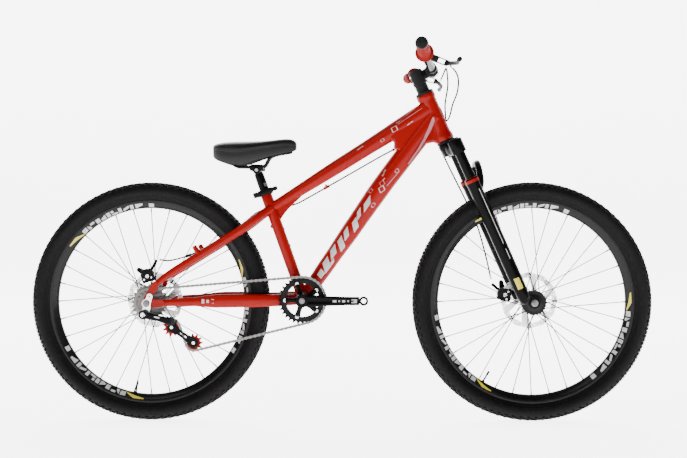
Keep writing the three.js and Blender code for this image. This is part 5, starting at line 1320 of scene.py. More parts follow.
def perch(name, side):
    pivot = lever_pivot(side)
    pivot = Vector((pivot.x, pivot.y, pivot.z))
    middle = on_bar(side, 0.205)
    along = (on_bar(side, 0.300) - on_bar(side, 0.200)).normalized()
    neck = middle.lerp(pivot, 0.46)
    reach = (pivot - middle).normalized()
    shape = Shape()
    clamp = [(0.0115, -0.0086), (0.0152, -0.0086), (0.0160, -0.0078), (0.0160, 0.0078),
             (0.0152, 0.0086), (0.0115, 0.0086)]
    shape.turned(clamp, middle, along, sides=48)
    path = smooth_path([middle + reach * 0.011, middle.lerp(neck, 0.72), neck + reach * 0.002], 12)
    shape.tube(path, [0.0076 - 0.0006 * math.sin(math.pi * i / 11) for i in range(12)], sides=24,
               flat=1.0, guide=Y, power=0.8)
    shape.beam(neck - LEVER_AXIS * 0.0079, neck + LEVER_AXIS * 0.0079, 0.0180, 0.0160)
    tip = middle.lerp(pivot, 1.04)
    for sign in (-1, 1):
        offset = LEVER_AXIS * (sign * 0.0070)
        start = neck + offset
        end = tip + offset
        shape.tube([start, start.lerp(end, 0.4), start.lerp(end, 0.75), end],
                   [0.0062, 0.0060, 0.0056, 0.0045], sides=20, flat=0.24, guide=LEVER_AXIS)
    piece(f"brake_perch_{name}_body", shape, "fork_upper", BLACK_ANODISED,
          (f"brake_perch_{name}",), bevel=0.0006, crease=34)
    # The cable adjuster and the pivot screw.
    bright = Shape()
    start = Vector((neck.x + 0.002, side * (abs(neck.y) - 0.008), neck.z))
    end = Vector((neck.x + 0.006, side * (abs(neck.y) - 0.024), neck.z - 0.002))
    bright.rod(start, start.lerp(end, 0.42), 0.0049, sides=28, chamfer=0.0006)
    bright.rod(start.lerp(end, 0.46), start.lerp(end, 0.72), 0.0044, sides=14, chamfer=0.0005)
    bright.rod(start.lerp(end, 0.70), start.lerp(end, 0.98), 0.0036, 0.0032, sides=28)
    bright.rod(pivot - LEVER_AXIS * 0.0084, pivot + LEVER_AXIS * 0.0084, 0.0024, sides=20)
    bolt = middle - reach * 0.0142
    across = reach.cross(along).normalized()
    bright.rod(bolt - across * 0.006, bolt + across * 0.006, 0.0020, sides=20)
    piece(f"brake_perch_{name}_fittings", bright, "fork_upper", BRIGHT_ALLOY, crease=32)


def brake_lever(name, side):
    pivot = lever_pivot(side)
    blade = lambda x, reach, z: Vector((pivot.x + x, side * (0.190 + reach), pivot.z + z))
    path = smooth_path([
        pivot, blade(0.0075, 0.012, -0.002), blade(0.0130, 0.028, -0.0042),
        blade(0.0205, 0.055, -0.0075), blade(0.0218, 0.080, -0.009), blade(0.0195, 0.110, -0.009),
        blade(0.0195, 0.126, -0.009), blade(0.0215, 0.133, -0.009)], 48)
    radii = spread([0.0052, 0.0050, 0.0048, 0.0047, 0.0046, 0.0045, 0.0048, 0.0056], 48)
    shape = Shape().tube(path, radii, sides=24, flat=1.12, guide=LEVER_AXIS, power=0.85)
    shape.ball(path[-1], 0.0057, sides=20)
    shape.turned([(0.0025, -0.0050), (0.0060, -0.0050), (0.0064, -0.0044), (0.0064, 0.0044),
                  (0.0060, 0.0050), (0.0025, 0.0050)], pivot, LEVER_AXIS, sides=32)
    piece(f"brake_lever_{name}_blade", shape, f"{name}_lever", BLACK_SATIN,
          (f"brake_lever_{name}",), crease=45)


# ---------- cables ----------
CABLE_RADIUS = 0.0024
REAR_CABLE = [
    (0.246, 0.033, 0.824), (0.205, 0.035, 0.797), (0.155, 0.033, 0.769), (0.110, 0.029, 0.745),
    (0.000, 0.025, 0.682), (-0.099, 0.024, 0.626), (-0.127, 0.024, 0.612), (-0.160, 0.028, 0.603),
    (-0.196, 0.034, 0.599), (-0.240, 0.047, 0.588), (-0.300, 0.056, 0.543),
    (-0.413, 0.062, 0.475), (-0.490, 0.066, 0.449), (-0.5264, 0.062, 0.4505),
]
REAR_LOOP = [
    (0.293, -0.164, 0.976), (0.310, -0.140, 0.962), (0.319, -0.115, 0.944), (0.319, -0.080, 0.915),
    (0.310, -0.045, 0.886), (0.305, -0.012, 0.858), (0.298, 0.020, 0.846), (0.272, 0.033, 0.836),
    (0.252, 0.032, 0.828),
]
FRONT_CABLE = [
    (0.293, 0.164, 0.978), (0.301, 0.140, 0.998), (0.305, 0.115, 1.008), (0.306, 0.088, 0.992),
    (0.306, 0.066, 0.950),
]
FRONT_CABLE_AT_HEAD = [
    (0.095, 0.046, 0.046), (0.051, 0.038, 0.027), (0.020, 0.042, 0.004), (-0.010, 0.043, -0.016),
    (-0.044, 0.043, -0.017), (-0.082, 0.044, -0.016), (-0.181, 0.048, -0.011),
    (-0.257, 0.050, -0.010), (-0.348, 0.057, -0.022),
]
FRONT_CABLE_END = (0.4313, 0.066, 0.394)
def spots(rows):
    return [Vector(row) for row in rows]


def make_cord(name, places, node, body):
    """A cable housing along its route, as a mesh tube with its middle line as the path."""
    count = max(60, int(sum((b - a).length for a, b in zip(places, places[1:])) / 0.006))
    path = smooth_path(places, count)
    shape = Shape().tube(path, CABLE_RADIUS, sides=14)
    item = piece(name, shape, body, CABLE_RUBBER, (node,), crease=60)
    return path


def ferrule(shape, path, index, outward, length=0.010, radius=0.0031):
    along = (path[index + outward] - path[index]).normalized()
    shape.rod(path[index], path[index] + along * length, radius, sides=20, chamfer=0.0005)


def cables():
    rear = make_cord("rear_cable_housing", spots(REAR_CABLE), "rear_brake_cable", "frame")
    loop = make_cord("rear_cable_front_loop", spots(REAR_LOOP), "rear_brake_cable_loop", "fork_upper")
    front_route = spots(FRONT_CABLE) + [at_head(*row) for row in FRONT_CABLE_AT_HEAD]
    front_route.append(Vector(FRONT_CABLE_END))
    front = make_cord("front_cable_housing", front_route, "front_brake_cable", "fork_upper")
    frame_ends, fork_ends = Shape(), Shape()
    ferrule(frame_ends, rear, 0, 1)
    ferrule(frame_ends, rear, len(rear) - 1, -1)
    ferrule(fork_ends, loop, 0, 1)
    ferrule(fork_ends, loop, len(loop) - 1, -1)
    ferrule(fork_ends, front, 0, 1)
    ferrule(fork_ends, front, len(front) - 1, -1)
    piece("cable_ferrules_frame", frame_ends, "frame", STEEL, crease=35)
    piece("cable_ferrules_fork", fork_ends, "fork_upper", STEEL, crease=35)
    # Guides hold the rear housing under the top tube and along the seatstay.
    guides, clips = Shape(), Shape()
    for k in range(len(rear)):
        share = k / (len(rear) - 1)
        if any(abs(share - mark) < 0.5 / (len(rear) - 1) for mark in (0.125, 0.385, 0.74, 0.90)):
            along = (rear[k + 1] - rear[k - 1]).normalized()
            target = clips if share > 0.6 else guides
            target.rod(rear[k] - along * 0.007, rear[k] + along * 0.007, 0.0042, sides=24,
                       chamfer=0.0006)
            clips.rod(rear[k] - along * 0.010, rear[k] - along * 0.007, 0.0052, sides=24,
                      chamfer=0.0006)
            inward = Vector((0, -1, 0)) if share > 0.6 else Vector((0, -0.75, 0.65)).normalized()
            reach = 0.009 if share > 0.6 else 0.012
            target.beam(rear[k], rear[k] + inward * reach, 0.0050, 0.0050, along)
    piece("cable_guides", guides, "frame", RED_PAINT, bevel=0.0003, crease=35)
    piece("cable_clips", clips, "frame", BLACK_PLASTIC, bevel=0.0003, crease=35)


# ---------- seat ----------
COLLAR_LOW = SEAT_TOP - SEAT_UP * 0.015
COLLAR_HIGH = SEAT_TOP + SEAT_UP * 0.002
COLLAR_BACK = Vector((-SEAT_UP.z, 0, SEAT_UP.x))
CLAMP_PIVOT = joint_place("seat_clamp_open")


def seat_clamp():
    height = (COLLAR_HIGH - COLLAR_LOW).length
    shape = Shape().turned([
        (0.0164, 0.0002), (0.0200, 0.0002), (0.0212, 0.0012), (0.0212, height - 0.0012),
        (0.0202, height - 0.0002), (0.0150, height - 0.0002), (0.0150, height - 0.0015),
        (0.0164, height - 0.0020)], COLLAR_LOW, SEAT_UP, sides=56)
    pivot = Vector((CLAMP_PIVOT.x, 0, CLAMP_PIVOT.z))
    for side in (LEFT, RIGHT):
        ear = pivot + Y * (side * 0.0080) - COLLAR_BACK * 0.004
        shape.tube([ear - SEAT_UP * 0.0068, ear - SEAT_UP * 0.0060, ear + SEAT_UP * 0.0060,
                    ear + SEAT_UP * 0.0068], [0.0090, 0.0102, 0.0102, 0.0090], sides=28, flat=0.52,
                   guide=Y, power=0.6)
    piece("seat_collar", shape, "frame", BLACK_ANODISED, ("seat_clamp_collar",),
          crease=38)
    bolt = Shape()
    bolt.rod(sideways(pivot, -0.0188), sideways(pivot, 0.0150), 0.0028, sides=24)
    bolt.rod(sideways(pivot, 0.0140), sideways(pivot, 0.0208), 0.0058, sides=32, chamfer=0.0009)
    piece("seat_clamp_bolt", bolt, "frame", STEEL, crease=35)
    lever = Shape()
    face = -0.0193
    hinge = sideways(pivot, face - 0.006)
    lever.rod(hinge - SEAT_UP * 0.0069, hinge + SEAT_UP * 0.0069, 0.0059, sides=36, chamfer=0.0008)
    tip = pivot - COLLAR_BACK * 0.060
    path = smooth_path([sideways(pivot, face - 0.0066), sideways(pivot.lerp(tip, 0.35), face - 0.0086),
                        sideways(pivot.lerp(tip, 0.7), face - 0.0086), sideways(tip, face - 0.0080)],
                       20)
    lever.tube(path, spread([0.0052, 0.0048, 0.0052, 0.0060], 20), sides=28, flat=0.42,
               guide=Y, power=0.8)
    lever.tube([sideways(tip, face - 0.0056), sideways(tip, face - 0.0104)], 0.0062, sides=28)
    piece("seat_lever_blade", lever, "clamp_lever", BLACK_ANODISED,
          ("seat_clamp_lever",), crease=40)


def seatpost():
    low = SEAT_TOP - SEAT_UP * 0.149
    length = (SADDLE_PIVOT - low).length
    post = Shape().turned([
        (0.0115, 0.0), (0.0132, 0.0), (0.0134, 0.0004), (0.0134, length - 0.0220),
        (0.0131, length - 0.0140), (0.0122, length - 0.0080), (0.0, length - 0.0060),
        (0.0, length - 0.0300), (0.0115, length - 0.0320)], low, SEAT_UP, sides=48)
    head = Shape().turned([
        (0.0, -0.0169), (0.0106, -0.0169), (0.0119, -0.0156), (0.0119, 0.0156),
        (0.0106, 0.0169), (0.0, 0.0169)], SADDLE_PIVOT, sides=48)
    piece("seatpost_tube", merge(post, head), "post", BLACK_GLOSS, ("seatpost",),
          crease=40)
    marks = Shape()
    for k in range(4):
        marks.turned([(0.0130, 0.0), (0.01345, 0.0), (0.01345, 0.0006), (0.0130, 0.0006)],
                     SEAT_TOP + SEAT_UP * (0.010 + 0.0025 * k), SEAT_UP, sides=20, start=200, sweep=60)
    piece("seatpost_marks", marks, "post", GREY_DECAL, crease=30)


def saddle():
    rail_x = SADDLE_PIVOT.x
    rail_z = SADDLE_PIVOT.z + 0.009
    rails = Shape()
    for side in (LEFT, RIGHT):
        path = smooth_path([
            Vector((rail_x - 0.096, side * 0.030, rail_z + 0.027)),
            Vector((rail_x - 0.080, side * 0.0285, rail_z + 0.0180)),
            Vector((rail_x - 0.060, side * 0.0250, rail_z + 0.0020)),
            Vector((rail_x - 0.045, side * 0.024, rail_z)), Vector((rail_x, side * 0.024, rail_z)),
            Vector((rail_x + 0.016, side * 0.024, rail_z + 0.0004)),
            Vector((rail_x + 0.024, side * 0.0235, rail_z + 0.0060)),
            Vector((rail_x + 0.036, side * 0.0210, rail_z + 0.0260)),
            Vector((rail_x + 0.056, side * 0.0160, rail_z + 0.0345)),
            Vector((rail_x + 0.090, side * 0.009, rail_z + 0.0400)),
            Vector((rail_x + 0.096, side * 0.0008, rail_z + 0.0410)),
        ], 70)
        rails.tube(path, 0.0034, sides=20)
    piece("saddle_rail_pair", rails, "saddle_unit", BLACK_SATIN, ("saddle_rails",),
          crease=60)
    clamp = Shape()
    for side in (LEFT, RIGHT):
        middle = Vector((rail_x, side * 0.0245, SADDLE_PIVOT.z + 0.0060))
        clamp.tube([middle - X * 0.0195, middle - X * 0.0170, middle + X * 0.0170,
                    middle + X * 0.0195], [0.0065, 0.0082, 0.0082, 0.0065], sides=28, flat=0.85,
                   guide=Y, power=0.7)
        clamp.disc(SADDLE_PIVOT, 0.0105, *sorted((side * 0.0178, side * 0.0315)), sides=36,
                   chamfer=0.0012)
    top = Vector((rail_x, 0, rail_z + 0.0052))
    clamp.box(top, (0.034, 0.046, 0.0034))
    piece("saddle_clamp", clamp, "saddle_unit", BLACK_ANODISED, bevel=0.0005,
          crease=38)
    bolt = Shape()
    bolt.hexagon(sideways(SADDLE_PIVOT, -0.0312), -Y, 0.0085, 0.0050)
    bolt.hexagon(sideways(SADDLE_PIVOT, 0.0312), Y, 0.0085, 0.0050)
    piece("saddle_clamp_bolt", bolt, "saddle_unit", STEEL, crease=32)
    saddle_top()


# The saddle: cross-sections from tail to nose, as (share, half width, top, edge, skirt).
SADDLE_SECTIONS = [
    (0.000, 0.0400, 0.7750, 0.7660, 0.7450), (0.030, 0.0500, 0.7795, 0.7640, 0.7350),
    (0.100, 0.0640, 0.7840, 0.7610, 0.7260), (0.200, 0.0725, 0.7862, 0.7580, 0.7190),
    (0.300, 0.0740, 0.7868, 0.7570, 0.7170), (0.400, 0.0680, 0.7872, 0.7590, 0.7210),
    (0.500, 0.0540, 0.7878, 0.7640, 0.7290), (0.600, 0.0400, 0.7890, 0.7690, 0.7370),
    (0.700, 0.0305, 0.7912, 0.7730, 0.7440), (0.800, 0.0250, 0.7940, 0.7765, 0.7500),
    (0.880, 0.0222, 0.7955, 0.7780, 0.7540), (0.940, 0.0195, 0.7940, 0.7775, 0.7575),
    (0.980, 0.0150, 0.7895, 0.7745, 0.7620), (1.000, 0.0090, 0.7830, 0.7715, 0.7665),
]


def saddle_top():
    length = 0.2345
    tail = SADDLE_PIVOT.x - 0.1232
    drop = SADDLE_PIVOT.z - 0.7063
    shape = Shape()
    rings = []
    for share, half, top, edge, skirt in SADDLE_SECTIONS:
        x = tail + share * length
        ring = []
        # Round from the middle top over the side to the skirt, then back underneath.
        outer = [(0.0, 1.0), (0.30, 0.99), (0.58, 0.93), (0.80, 0.80), (0.94, 0.58), (1.0, 0.30),
                 (0.992, 0.06)]
        for u, v in outer:
            ring.append((u * half, edge + (top - edge) * v))
        for u, v in ((0.962, 0.92), (0.968, 0.62), (0.94, 0.30), (0.90, 0.06)):
            ring.append((u * half, skirt + (edge - skirt) * v))
        for u, v in ((0.86, 0.04), (0.80, 0.25), (0.74, 0.55), (0.50, 0.70), (0.0, 0.76)):
            ring.append((u * half, skirt + (edge - skirt) * v))
        full = [(y, z) for y, z in ring] + [(-y, z) for y, z in ring[-2:0:-1]]
        rings.append([Vector((x, y, z + drop)) for y, z in full])
    shape.rings(rings)
    item = piece("saddle_cover", shape, "saddle_unit", VINYL, ("saddle",), crease=80,
                 subdivide=2)
    # A piped seam runs round the edge of the cover.
    for name, side in (("right", RIGHT), ("left", LEFT)):
        line = smooth_path([
            Vector((tail + share * length, side * (half * 0.975), edge - 0.0012 + drop))
            for share, half, top, edge, skirt in SADDLE_SECTIONS[1:-1]], 90)
        seam = Shape().tube(line, 0.0011, sides=8)
        piece(f"saddle_seam_{name}", seam, "saddle_unit", VINYL, crease=60)


# ---------- drivetrain ----------
def pitch_radius(teeth):
    return CHAIN_PITCH / 2 / math.sin(math.pi / teeth)


def tooth_outline(centre, teeth, depth=0.0040, height=0.0030, start=0.0):
    """A sprocket's edge: rounded valleys for the rollers and narrow flat-tipped teeth."""
    radius = pitch_radius(teeth)
    step = 2 * math.pi / teeth
    points = []
    for i in range(teeth):
        for share, reach in ((-0.060, height), (0.060, height), (0.14, height * 0.45),
                             (0.23, -depth * 0.35), (0.33, -depth * 0.82), (0.42, -depth * 0.97),
                             (0.50, -depth), (0.58, -depth * 0.97), (0.67, -depth * 0.82),
                             (0.77, -depth * 0.35), (0.86, height * 0.45)):
            angle = start + (i + share) * step
            points.append((centre.x + (radius + reach) * math.cos(angle),
                           centre.z + (radius + reach) * math.sin(angle)))
    return points


SPIDER = [180, 252, 324, 36, 108]


def chainring():
    ring = pitch_radius(32)
    ring_shape = flat_shape([tooth_outline(BRACKET, 32), circle(BRACKET, ring - 0.0140, 96)],
                            CHAINLINE - 0.00095, CHAINLINE + 0.00095, bevel=0.0003)
    carrier = Shape().turned([
        (ring - 0.0185, CHAINLINE - 0.0014), (ring - 0.0058, CHAINLINE - 0.0016),
        (ring - 0.0052, CHAINLINE - 0.0010), (ring - 0.0052, CHAINLINE + 0.0010),
        (ring - 0.0058, CHAINLINE + 0.0016), (ring - 0.0185, CHAINLINE + 0.0014)], BRACKET, sides=96)
    tabs = Shape()
    for angle in SPIDER:
        tab = around(BRACKET, angle, 0.0480)
        inner = around(BRACKET, angle, 0.0455)
        tabs = merge(tabs, flat_shape([capsule(inner, tab, 0.0070, 0.0074), circle(tab, 0.0041, 20)],
                                      CHAINLINE - 0.0015, CHAINLINE + 0.0015, bevel=0.0003))
    piece("chainring_teeth", merge(ring_shape, carrier, tabs), "crankset", BLACK_SATIN,
          ("chainring",), crease=32)
    bolts = Shape()
    for angle in SPIDER:
        spot = around(BRACKET, angle, 0.0480)
        bolts.disc(spot, 0.0058, CHAINLINE + 0.0017, CHAINLINE + 0.0034, sides=28, chamfer=0.0004)
        bolts.disc(spot, 0.0052, CHAINLINE - 0.0086, CHAINLINE - 0.0072, sides=28, chamfer=0.0005)
    piece("chainring_bolts", bolts, "crankset", STEEL, crease=30)


def crank(name, side):
    reach = -side
    pedal = BRACKET + X * (reach * 0.170)
    inner, outer = 0.066, 0.080
    low, high = sorted((side * inner, side * outer))
    # The arm: an oval bar that narrows to the pedal eye, with a shallow groove along its face.
    middle_y = side * (inner + outer) / 2
    shape = Shape()
    places = [sideways(BRACKET, middle_y), sideways(BRACKET.lerp(pedal, 0.12), middle_y),
              sideways(BRACKET.lerp(pedal, 0.5), middle_y),
              sideways(BRACKET.lerp(pedal, 0.93), middle_y),
              sideways(pedal, middle_y)]
    path = smooth_path(places, 30)
    heights = spread([0.0160, 0.0155, 0.0128, 0.0116, 0.0112], 30)
    rings = []
    for place, half in zip(path[1:-2], heights[1:-2]):
        ring = []
        for u, v in ((-1, -0.55), (-0.86, -0.86), (-0.5, -1), (0.5, -1), (0.86, -0.86), (1, -0.55),
                     (1, 0.55), (0.86, 0.86), (0.55, 1), (0.42, 0.88), (-0.42, 0.88), (-0.55, 1),
                     (-0.86, 0.86), (-1, 0.55)):
            ring.append(place + Z * (u * half) + Y * (side * v * 0.00695))
        rings.append(ring)
    shape.rings(rings)
    for centre, radius, bore in ((BRACKET, 0.0174, 0.0089), (pedal, 0.0128, 0.0071)):
        shape.turned([
            (bore, low + 0.0001), (radius - 0.0012, low + 0.0001), (radius, low + 0.0013),
            (radius, high - 0.0013), (radius - 0.0012, high - 0.0001), (bore, high - 0.0001),
        ], Vector((centre.x, 0, centre.z)), sides=56)
    piece(f"crank_{name}", shape, "crankset", BLACK_GLOSS,
          (f"crank_arm_{name}",), crease=40)
    cap = Shape()
    face = side * 0.0772
    cap.disc(BRACKET, 0.0086, *sorted((face, side * 0.0795)), sides=36, chamfer=0.0008)
    cap.rod(sideways(BRACKET, side * 0.0788), sideways(BRACKET, side * 0.0799), 0.0042, sides=6)
    piece(f"crank_cap_{name}", cap, "crankset", DARK_STEEL, crease=30)
    thread = Shape()
    for k in range(9):
        y = side * (inner + 0.0012 + 0.0014 * k)
        thread.turned([(0.0071, y - 0.0004), (0.0067, y), (0.0071, y + 0.0004), (0.0074, y)],
                      sideways(pedal, 0), sides=28)
    piece(f"pedal_thread_{name}", thread, "crankset", STEEL, crease=30)
    marks, panel = Shape(), Shape()
    for k, width in enumerate((0.010, 0.0045, 0.008, 0.0045, 0.0065)):
        x = BRACKET.x + reach * (0.090 + 0.0125 * k)
        marks.box(Vector((x, side * 0.0792, BRACKET.z)), (width, 0.0012, 0.0042 if k % 2 else 0.0058),
                  (X, Y, Z))
    panel.box(Vector((BRACKET.x + reach * 0.1440, side * 0.0792, BRACKET.z)), (0.0150, 0.0012, 0.0100))
    piece(f"crank_marks_{name}", marks, "crankset", WHITE_PRINT_AND_HIGHLIGHT, crease=30)
    piece(f"crank_panel_{name}", panel, "crankset", GREY_DECAL, crease=30)


def spider():
    shape = Shape()
    inner_y = CHAINLINE - 0.0017 - 0.0003
    shape.turned([(0.0090, -0.0670), (0.0180, -0.0670), (0.0190, -0.0655), (0.0190, inner_y - 0.0022),
                  (0.0090, inner_y - 0.0022)], BRACKET, sides=56)
    for angle in SPIDER:
        tip = around(BRACKET, angle, 0.0480, inner_y - 0.0034)
        start = around(BRACKET, angle, 0.0130, inner_y - 0.0072)
        path = [start.lerp(tip, i / 10) for i in range(11)]
        radii = [0.0092 - 0.0042 * math.sin(math.pi * min(1, i / 8)) * 0.5 - 0.0016 * i / 10
                 for i in range(11)]
        shape.tube(path, radii, sides=24, flat=0.42, guide=Y, power=0.8)
        shape.disc(around(BRACKET, angle, 0.0480), 0.0070, inner_y - 0.0058, inner_y - 0.0002,
                   sides=32, chamfer=0.0008)
    piece("crank_spider", shape, "crankset", BLACK_GLOSS, crease=40)
    spindle = Shape().disc(BRACKET, 0.0084, -0.0768, 0.0768, sides=36, chamfer=0.0006)
    piece("crank_spindle", spindle, "crankset", STEEL, ("bottom_bracket_spindle",),
          crease=35)


SPROCKETS = [14, 16, 18, 20, 22, 24]


def freewheel():
    shape = Shape()
    for i, teeth in enumerate(SPROCKETS):
        y = CHAINLINE + (i - 2) * 0.005
        shape = merge(shape, flat_shape([tooth_outline(REAR_AXLE, teeth, height=0.0022),
                                         circle(REAR_AXLE, 0.0195, 48)],
                                        y - 0.0009, y + 0.0009, bevel=0.0002))
    shape.turned([(0.0171, -0.0578), (0.0205, -0.0578), (0.0218, -0.0570), (0.0218, -0.0330),
                  (0.0205, -0.0312), (0.0171, -0.0312)], REAR_AXLE, sides=64)
    piece("freewheel_stack", shape, "rear_sprockets", DARK_STEEL, ("freewheel",),
          crease=30)


# ---------- derailleur ----------
GUIDE = joint_place("guide_pulley_spin")
TENSION = joint_place("tension_pulley_spin")
CAGE_PIVOT = joint_place("cage_swing")
GUIDE, TENSION, CAGE_PIVOT = (Vector((p.x, 0, p.z)) for p in (GUIDE, TENSION, CAGE_PIVOT))
HANGER_BOLT = REAR_AXLE + Vector((-0.0059, 0, -0.030))
HANGER_FACE = (-0.0771, -0.0728)


def derailleur():
    top = REAR_AXLE + Vector((0.009, 0, 0.019))
    edge = []
    edge += [around(REAR_AXLE, a, 0.0118) for a in range(100, 236, 15)]
    edge += [around(HANGER_BOLT, a, 0.0108) for a in range(170, 372, 15)]
    edge += [REAR_AXLE + Vector((0.0110, 0, -0.0135)), REAR_AXLE + Vector((0.0122, 0, 0.000))]
    edge += [around(top, a, 0.0078) for a in range(-30, 200, 20)]
    hanger = flat_shape([[(p.x, p.z) for p in edge], circle(REAR_AXLE, 0.0052, 32),
                         circle(HANGER_BOLT, 0.0054, 24), circle(top, 0.0026, 16)],
                        HANGER_FACE[0] + 0.0001, HANGER_FACE[1] - 0.0001, bevel=0.0006)
    piece("hanger_plate", hanger, "frame", BRIGHT_ALLOY, ("derailleur_hanger",), crease=30)
    face = HANGER_FACE[0] - 0.0004
    outer = face - 0.0168
    knuckle = Shape().turned([
        (0.0, outer), (0.0105, outer), (0.0127, outer + 0.0020), (0.0129, face - 0.0030),
        (0.0118, face), (0.0, face)], HANGER_BOLT, sides=48)
    foot = CAGE_PIVOT + Vector((-0.004, 0, 0.002))
    cage_face = CHAINLINE - 0.0052 - 0.0020
    knuckle.turned([
        (0.0, cage_face - 0.0168), (0.0100, cage_face - 0.0168), (0.0124, cage_face - 0.0145),
        (0.0129, cage_face - 0.0040), (0.0120, cage_face - 0.0004), (0.0, cage_face - 0.0004),
    ], foot, sides=48)
    start = sideways(HANGER_BOLT, (outer + face) / 2 - 0.003)
    end = sideways(foot, cage_face - 0.009)
    along = (end - start).normalized()
    body = Shape()
    for shift, thick in ((0.0048, 0.0036), (-0.0048, 0.0036)):
        side_way = along.cross(Z).normalized() * shift
        path = [start.lerp(end, t / 8) + side_way for t in range(9)]
        body.tube(path, [0.0102 - 0.0020 * math.sin(math.pi * t / 8) for t in range(9)], sides=28,
                  flat=thick / 0.0102, guide=along.cross(Z), power=0.75)
    piece("derailleur_knuckles", merge(knuckle, body), "frame", BLACK_SATIN,
          ("rear_derailleur",), crease=40)
    details = Shape()
    details.disc(HANGER_BOLT, 0.0066, outer - 0.0018, outer + 0.0010, sides=32, chamfer=0.0007)
    details.rod(sideways(HANGER_BOLT, outer - 0.0019), sideways(HANGER_BOLT, outer - 0.0012), 0.0026,
                sides=6)
    for t in (0.16, 0.84):
        spot = start.lerp(end, t)
        for lift in (-1, 1):
            place = spot + Vector((0, 0, 0.0052 * lift))
            details.rod(place - Y * 0.0075, place + Y * 0.0075, 0.0019, sides=18, chamfer=0.0003)
    for k in (0, 1):
        spot = sideways(HANGER_BOLT + Vector((-0.0085, 0, -0.0060 + 0.0072 * k)),
                        outer + 0.006)
        details.rod(spot, spot - X * 0.0052, 0.0017, sides=16, chamfer=0.0003)
    piece("derailleur_screws", details, "frame", BRIGHT_ALLOY, crease=32)
    badge = Shape()
    middle = start.lerp(end, 0.5) + Y * -0.0076
    badge.box(middle, (0.0150, 0.0010, 0.0100), (along, Y, along.cross(Y)))
    piece("derailleur_label", badge, "frame", GREY_DECAL, crease=30)


def cage():
    shape = Shape()
    along = TENSION - GUIDE
    along.normalize()
    across = Vector((-along.z, 0, along.x))
    slot = capsule(GUIDE.lerp(TENSION, 0.36), GUIDE.lerp(TENSION, 0.64), 0.0030, 0.0030)
    for low, high in ((CHAINLINE - 0.0071, CHAINLINE - 0.0053),
                      (CHAINLINE + 0.0053, CHAINLINE + 0.0071)):
        edge = [around(GUIDE, math.degrees(math.atan2(along.z, along.x)) + 90 + a, 0.0122)
                 for a in range(-15, 196, 15)]
        mid = GUIDE.lerp(TENSION, 0.5)
        edge += [mid - across * 0.0072 - along * 0.012, mid - across * 0.0072 + along * 0.012]
        edge += [around(TENSION, math.degrees(math.atan2(along.z, along.x)) - 90 + a, 0.0134)
                 for a in range(-15, 196, 15)]
        edge += [mid + across * 0.0072 + along * 0.012, mid + across * 0.0072 - along * 0.012]
        shape = merge(shape, flat_shape([[(p.x, p.z) for p in edge], slot], low, high, bevel=0.0004))
    shape.disc(CAGE_PIVOT, 0.0108, CHAINLINE - 0.0071, CHAINLINE - 0.0053, sides=40, chamfer=0.0004)
    piece("cage_plates", shape, "pulley_cage", BLACK_SATIN, ("derailleur_cage",),
          crease=32)
    bolts = Shape()
    for centre in (GUIDE, TENSION):
        bolts.disc(centre, 0.0022, CHAINLINE - 0.0071, CHAINLINE + 0.0071, sides=24)
        bolts.disc(centre, 0.0044, CHAINLINE - 0.0072, CHAINLINE - 0.0060, sides=28, chamfer=0.0003)
        bolts.disc(centre, 0.0044, CHAINLINE + 0.0060, CHAINLINE + 0.0072, sides=28, chamfer=0.0003)
    piece("cage_bolts", bolts, "pulley_cage", BRIGHT_ALLOY, crease=30)
    for name, centre, body in (("guide", GUIDE, "upper_pulley"), ("tension", TENSION, "lower_pulley")):
        holes = [circle(around(centre, 60 * k + 30, 0.0125), 0.0019, 14) for k in range(6)]
        wheel = flat_shape([tooth_outline(centre, 11, depth=0.0042, height=0.0030),
                            circle(centre, 0.0050, 28), *holes],
                           CHAINLINE - 0.0010, CHAINLINE + 0.0010, bevel=0.0003)
        wheel.turned([(0.0028, CHAINLINE - 0.0036), (0.0074, CHAINLINE - 0.0036),
                      (0.0079, CHAINLINE - 0.0030), (0.0079, CHAINLINE + 0.0030),
                      (0.0074, CHAINLINE + 0.0036), (0.0028, CHAINLINE + 0.0036)], centre, sides=36)
        piece(f"{name}_pulley_wheel", wheel, body, RED_PLASTIC,
              (f"{name}_pulley",), crease=32)


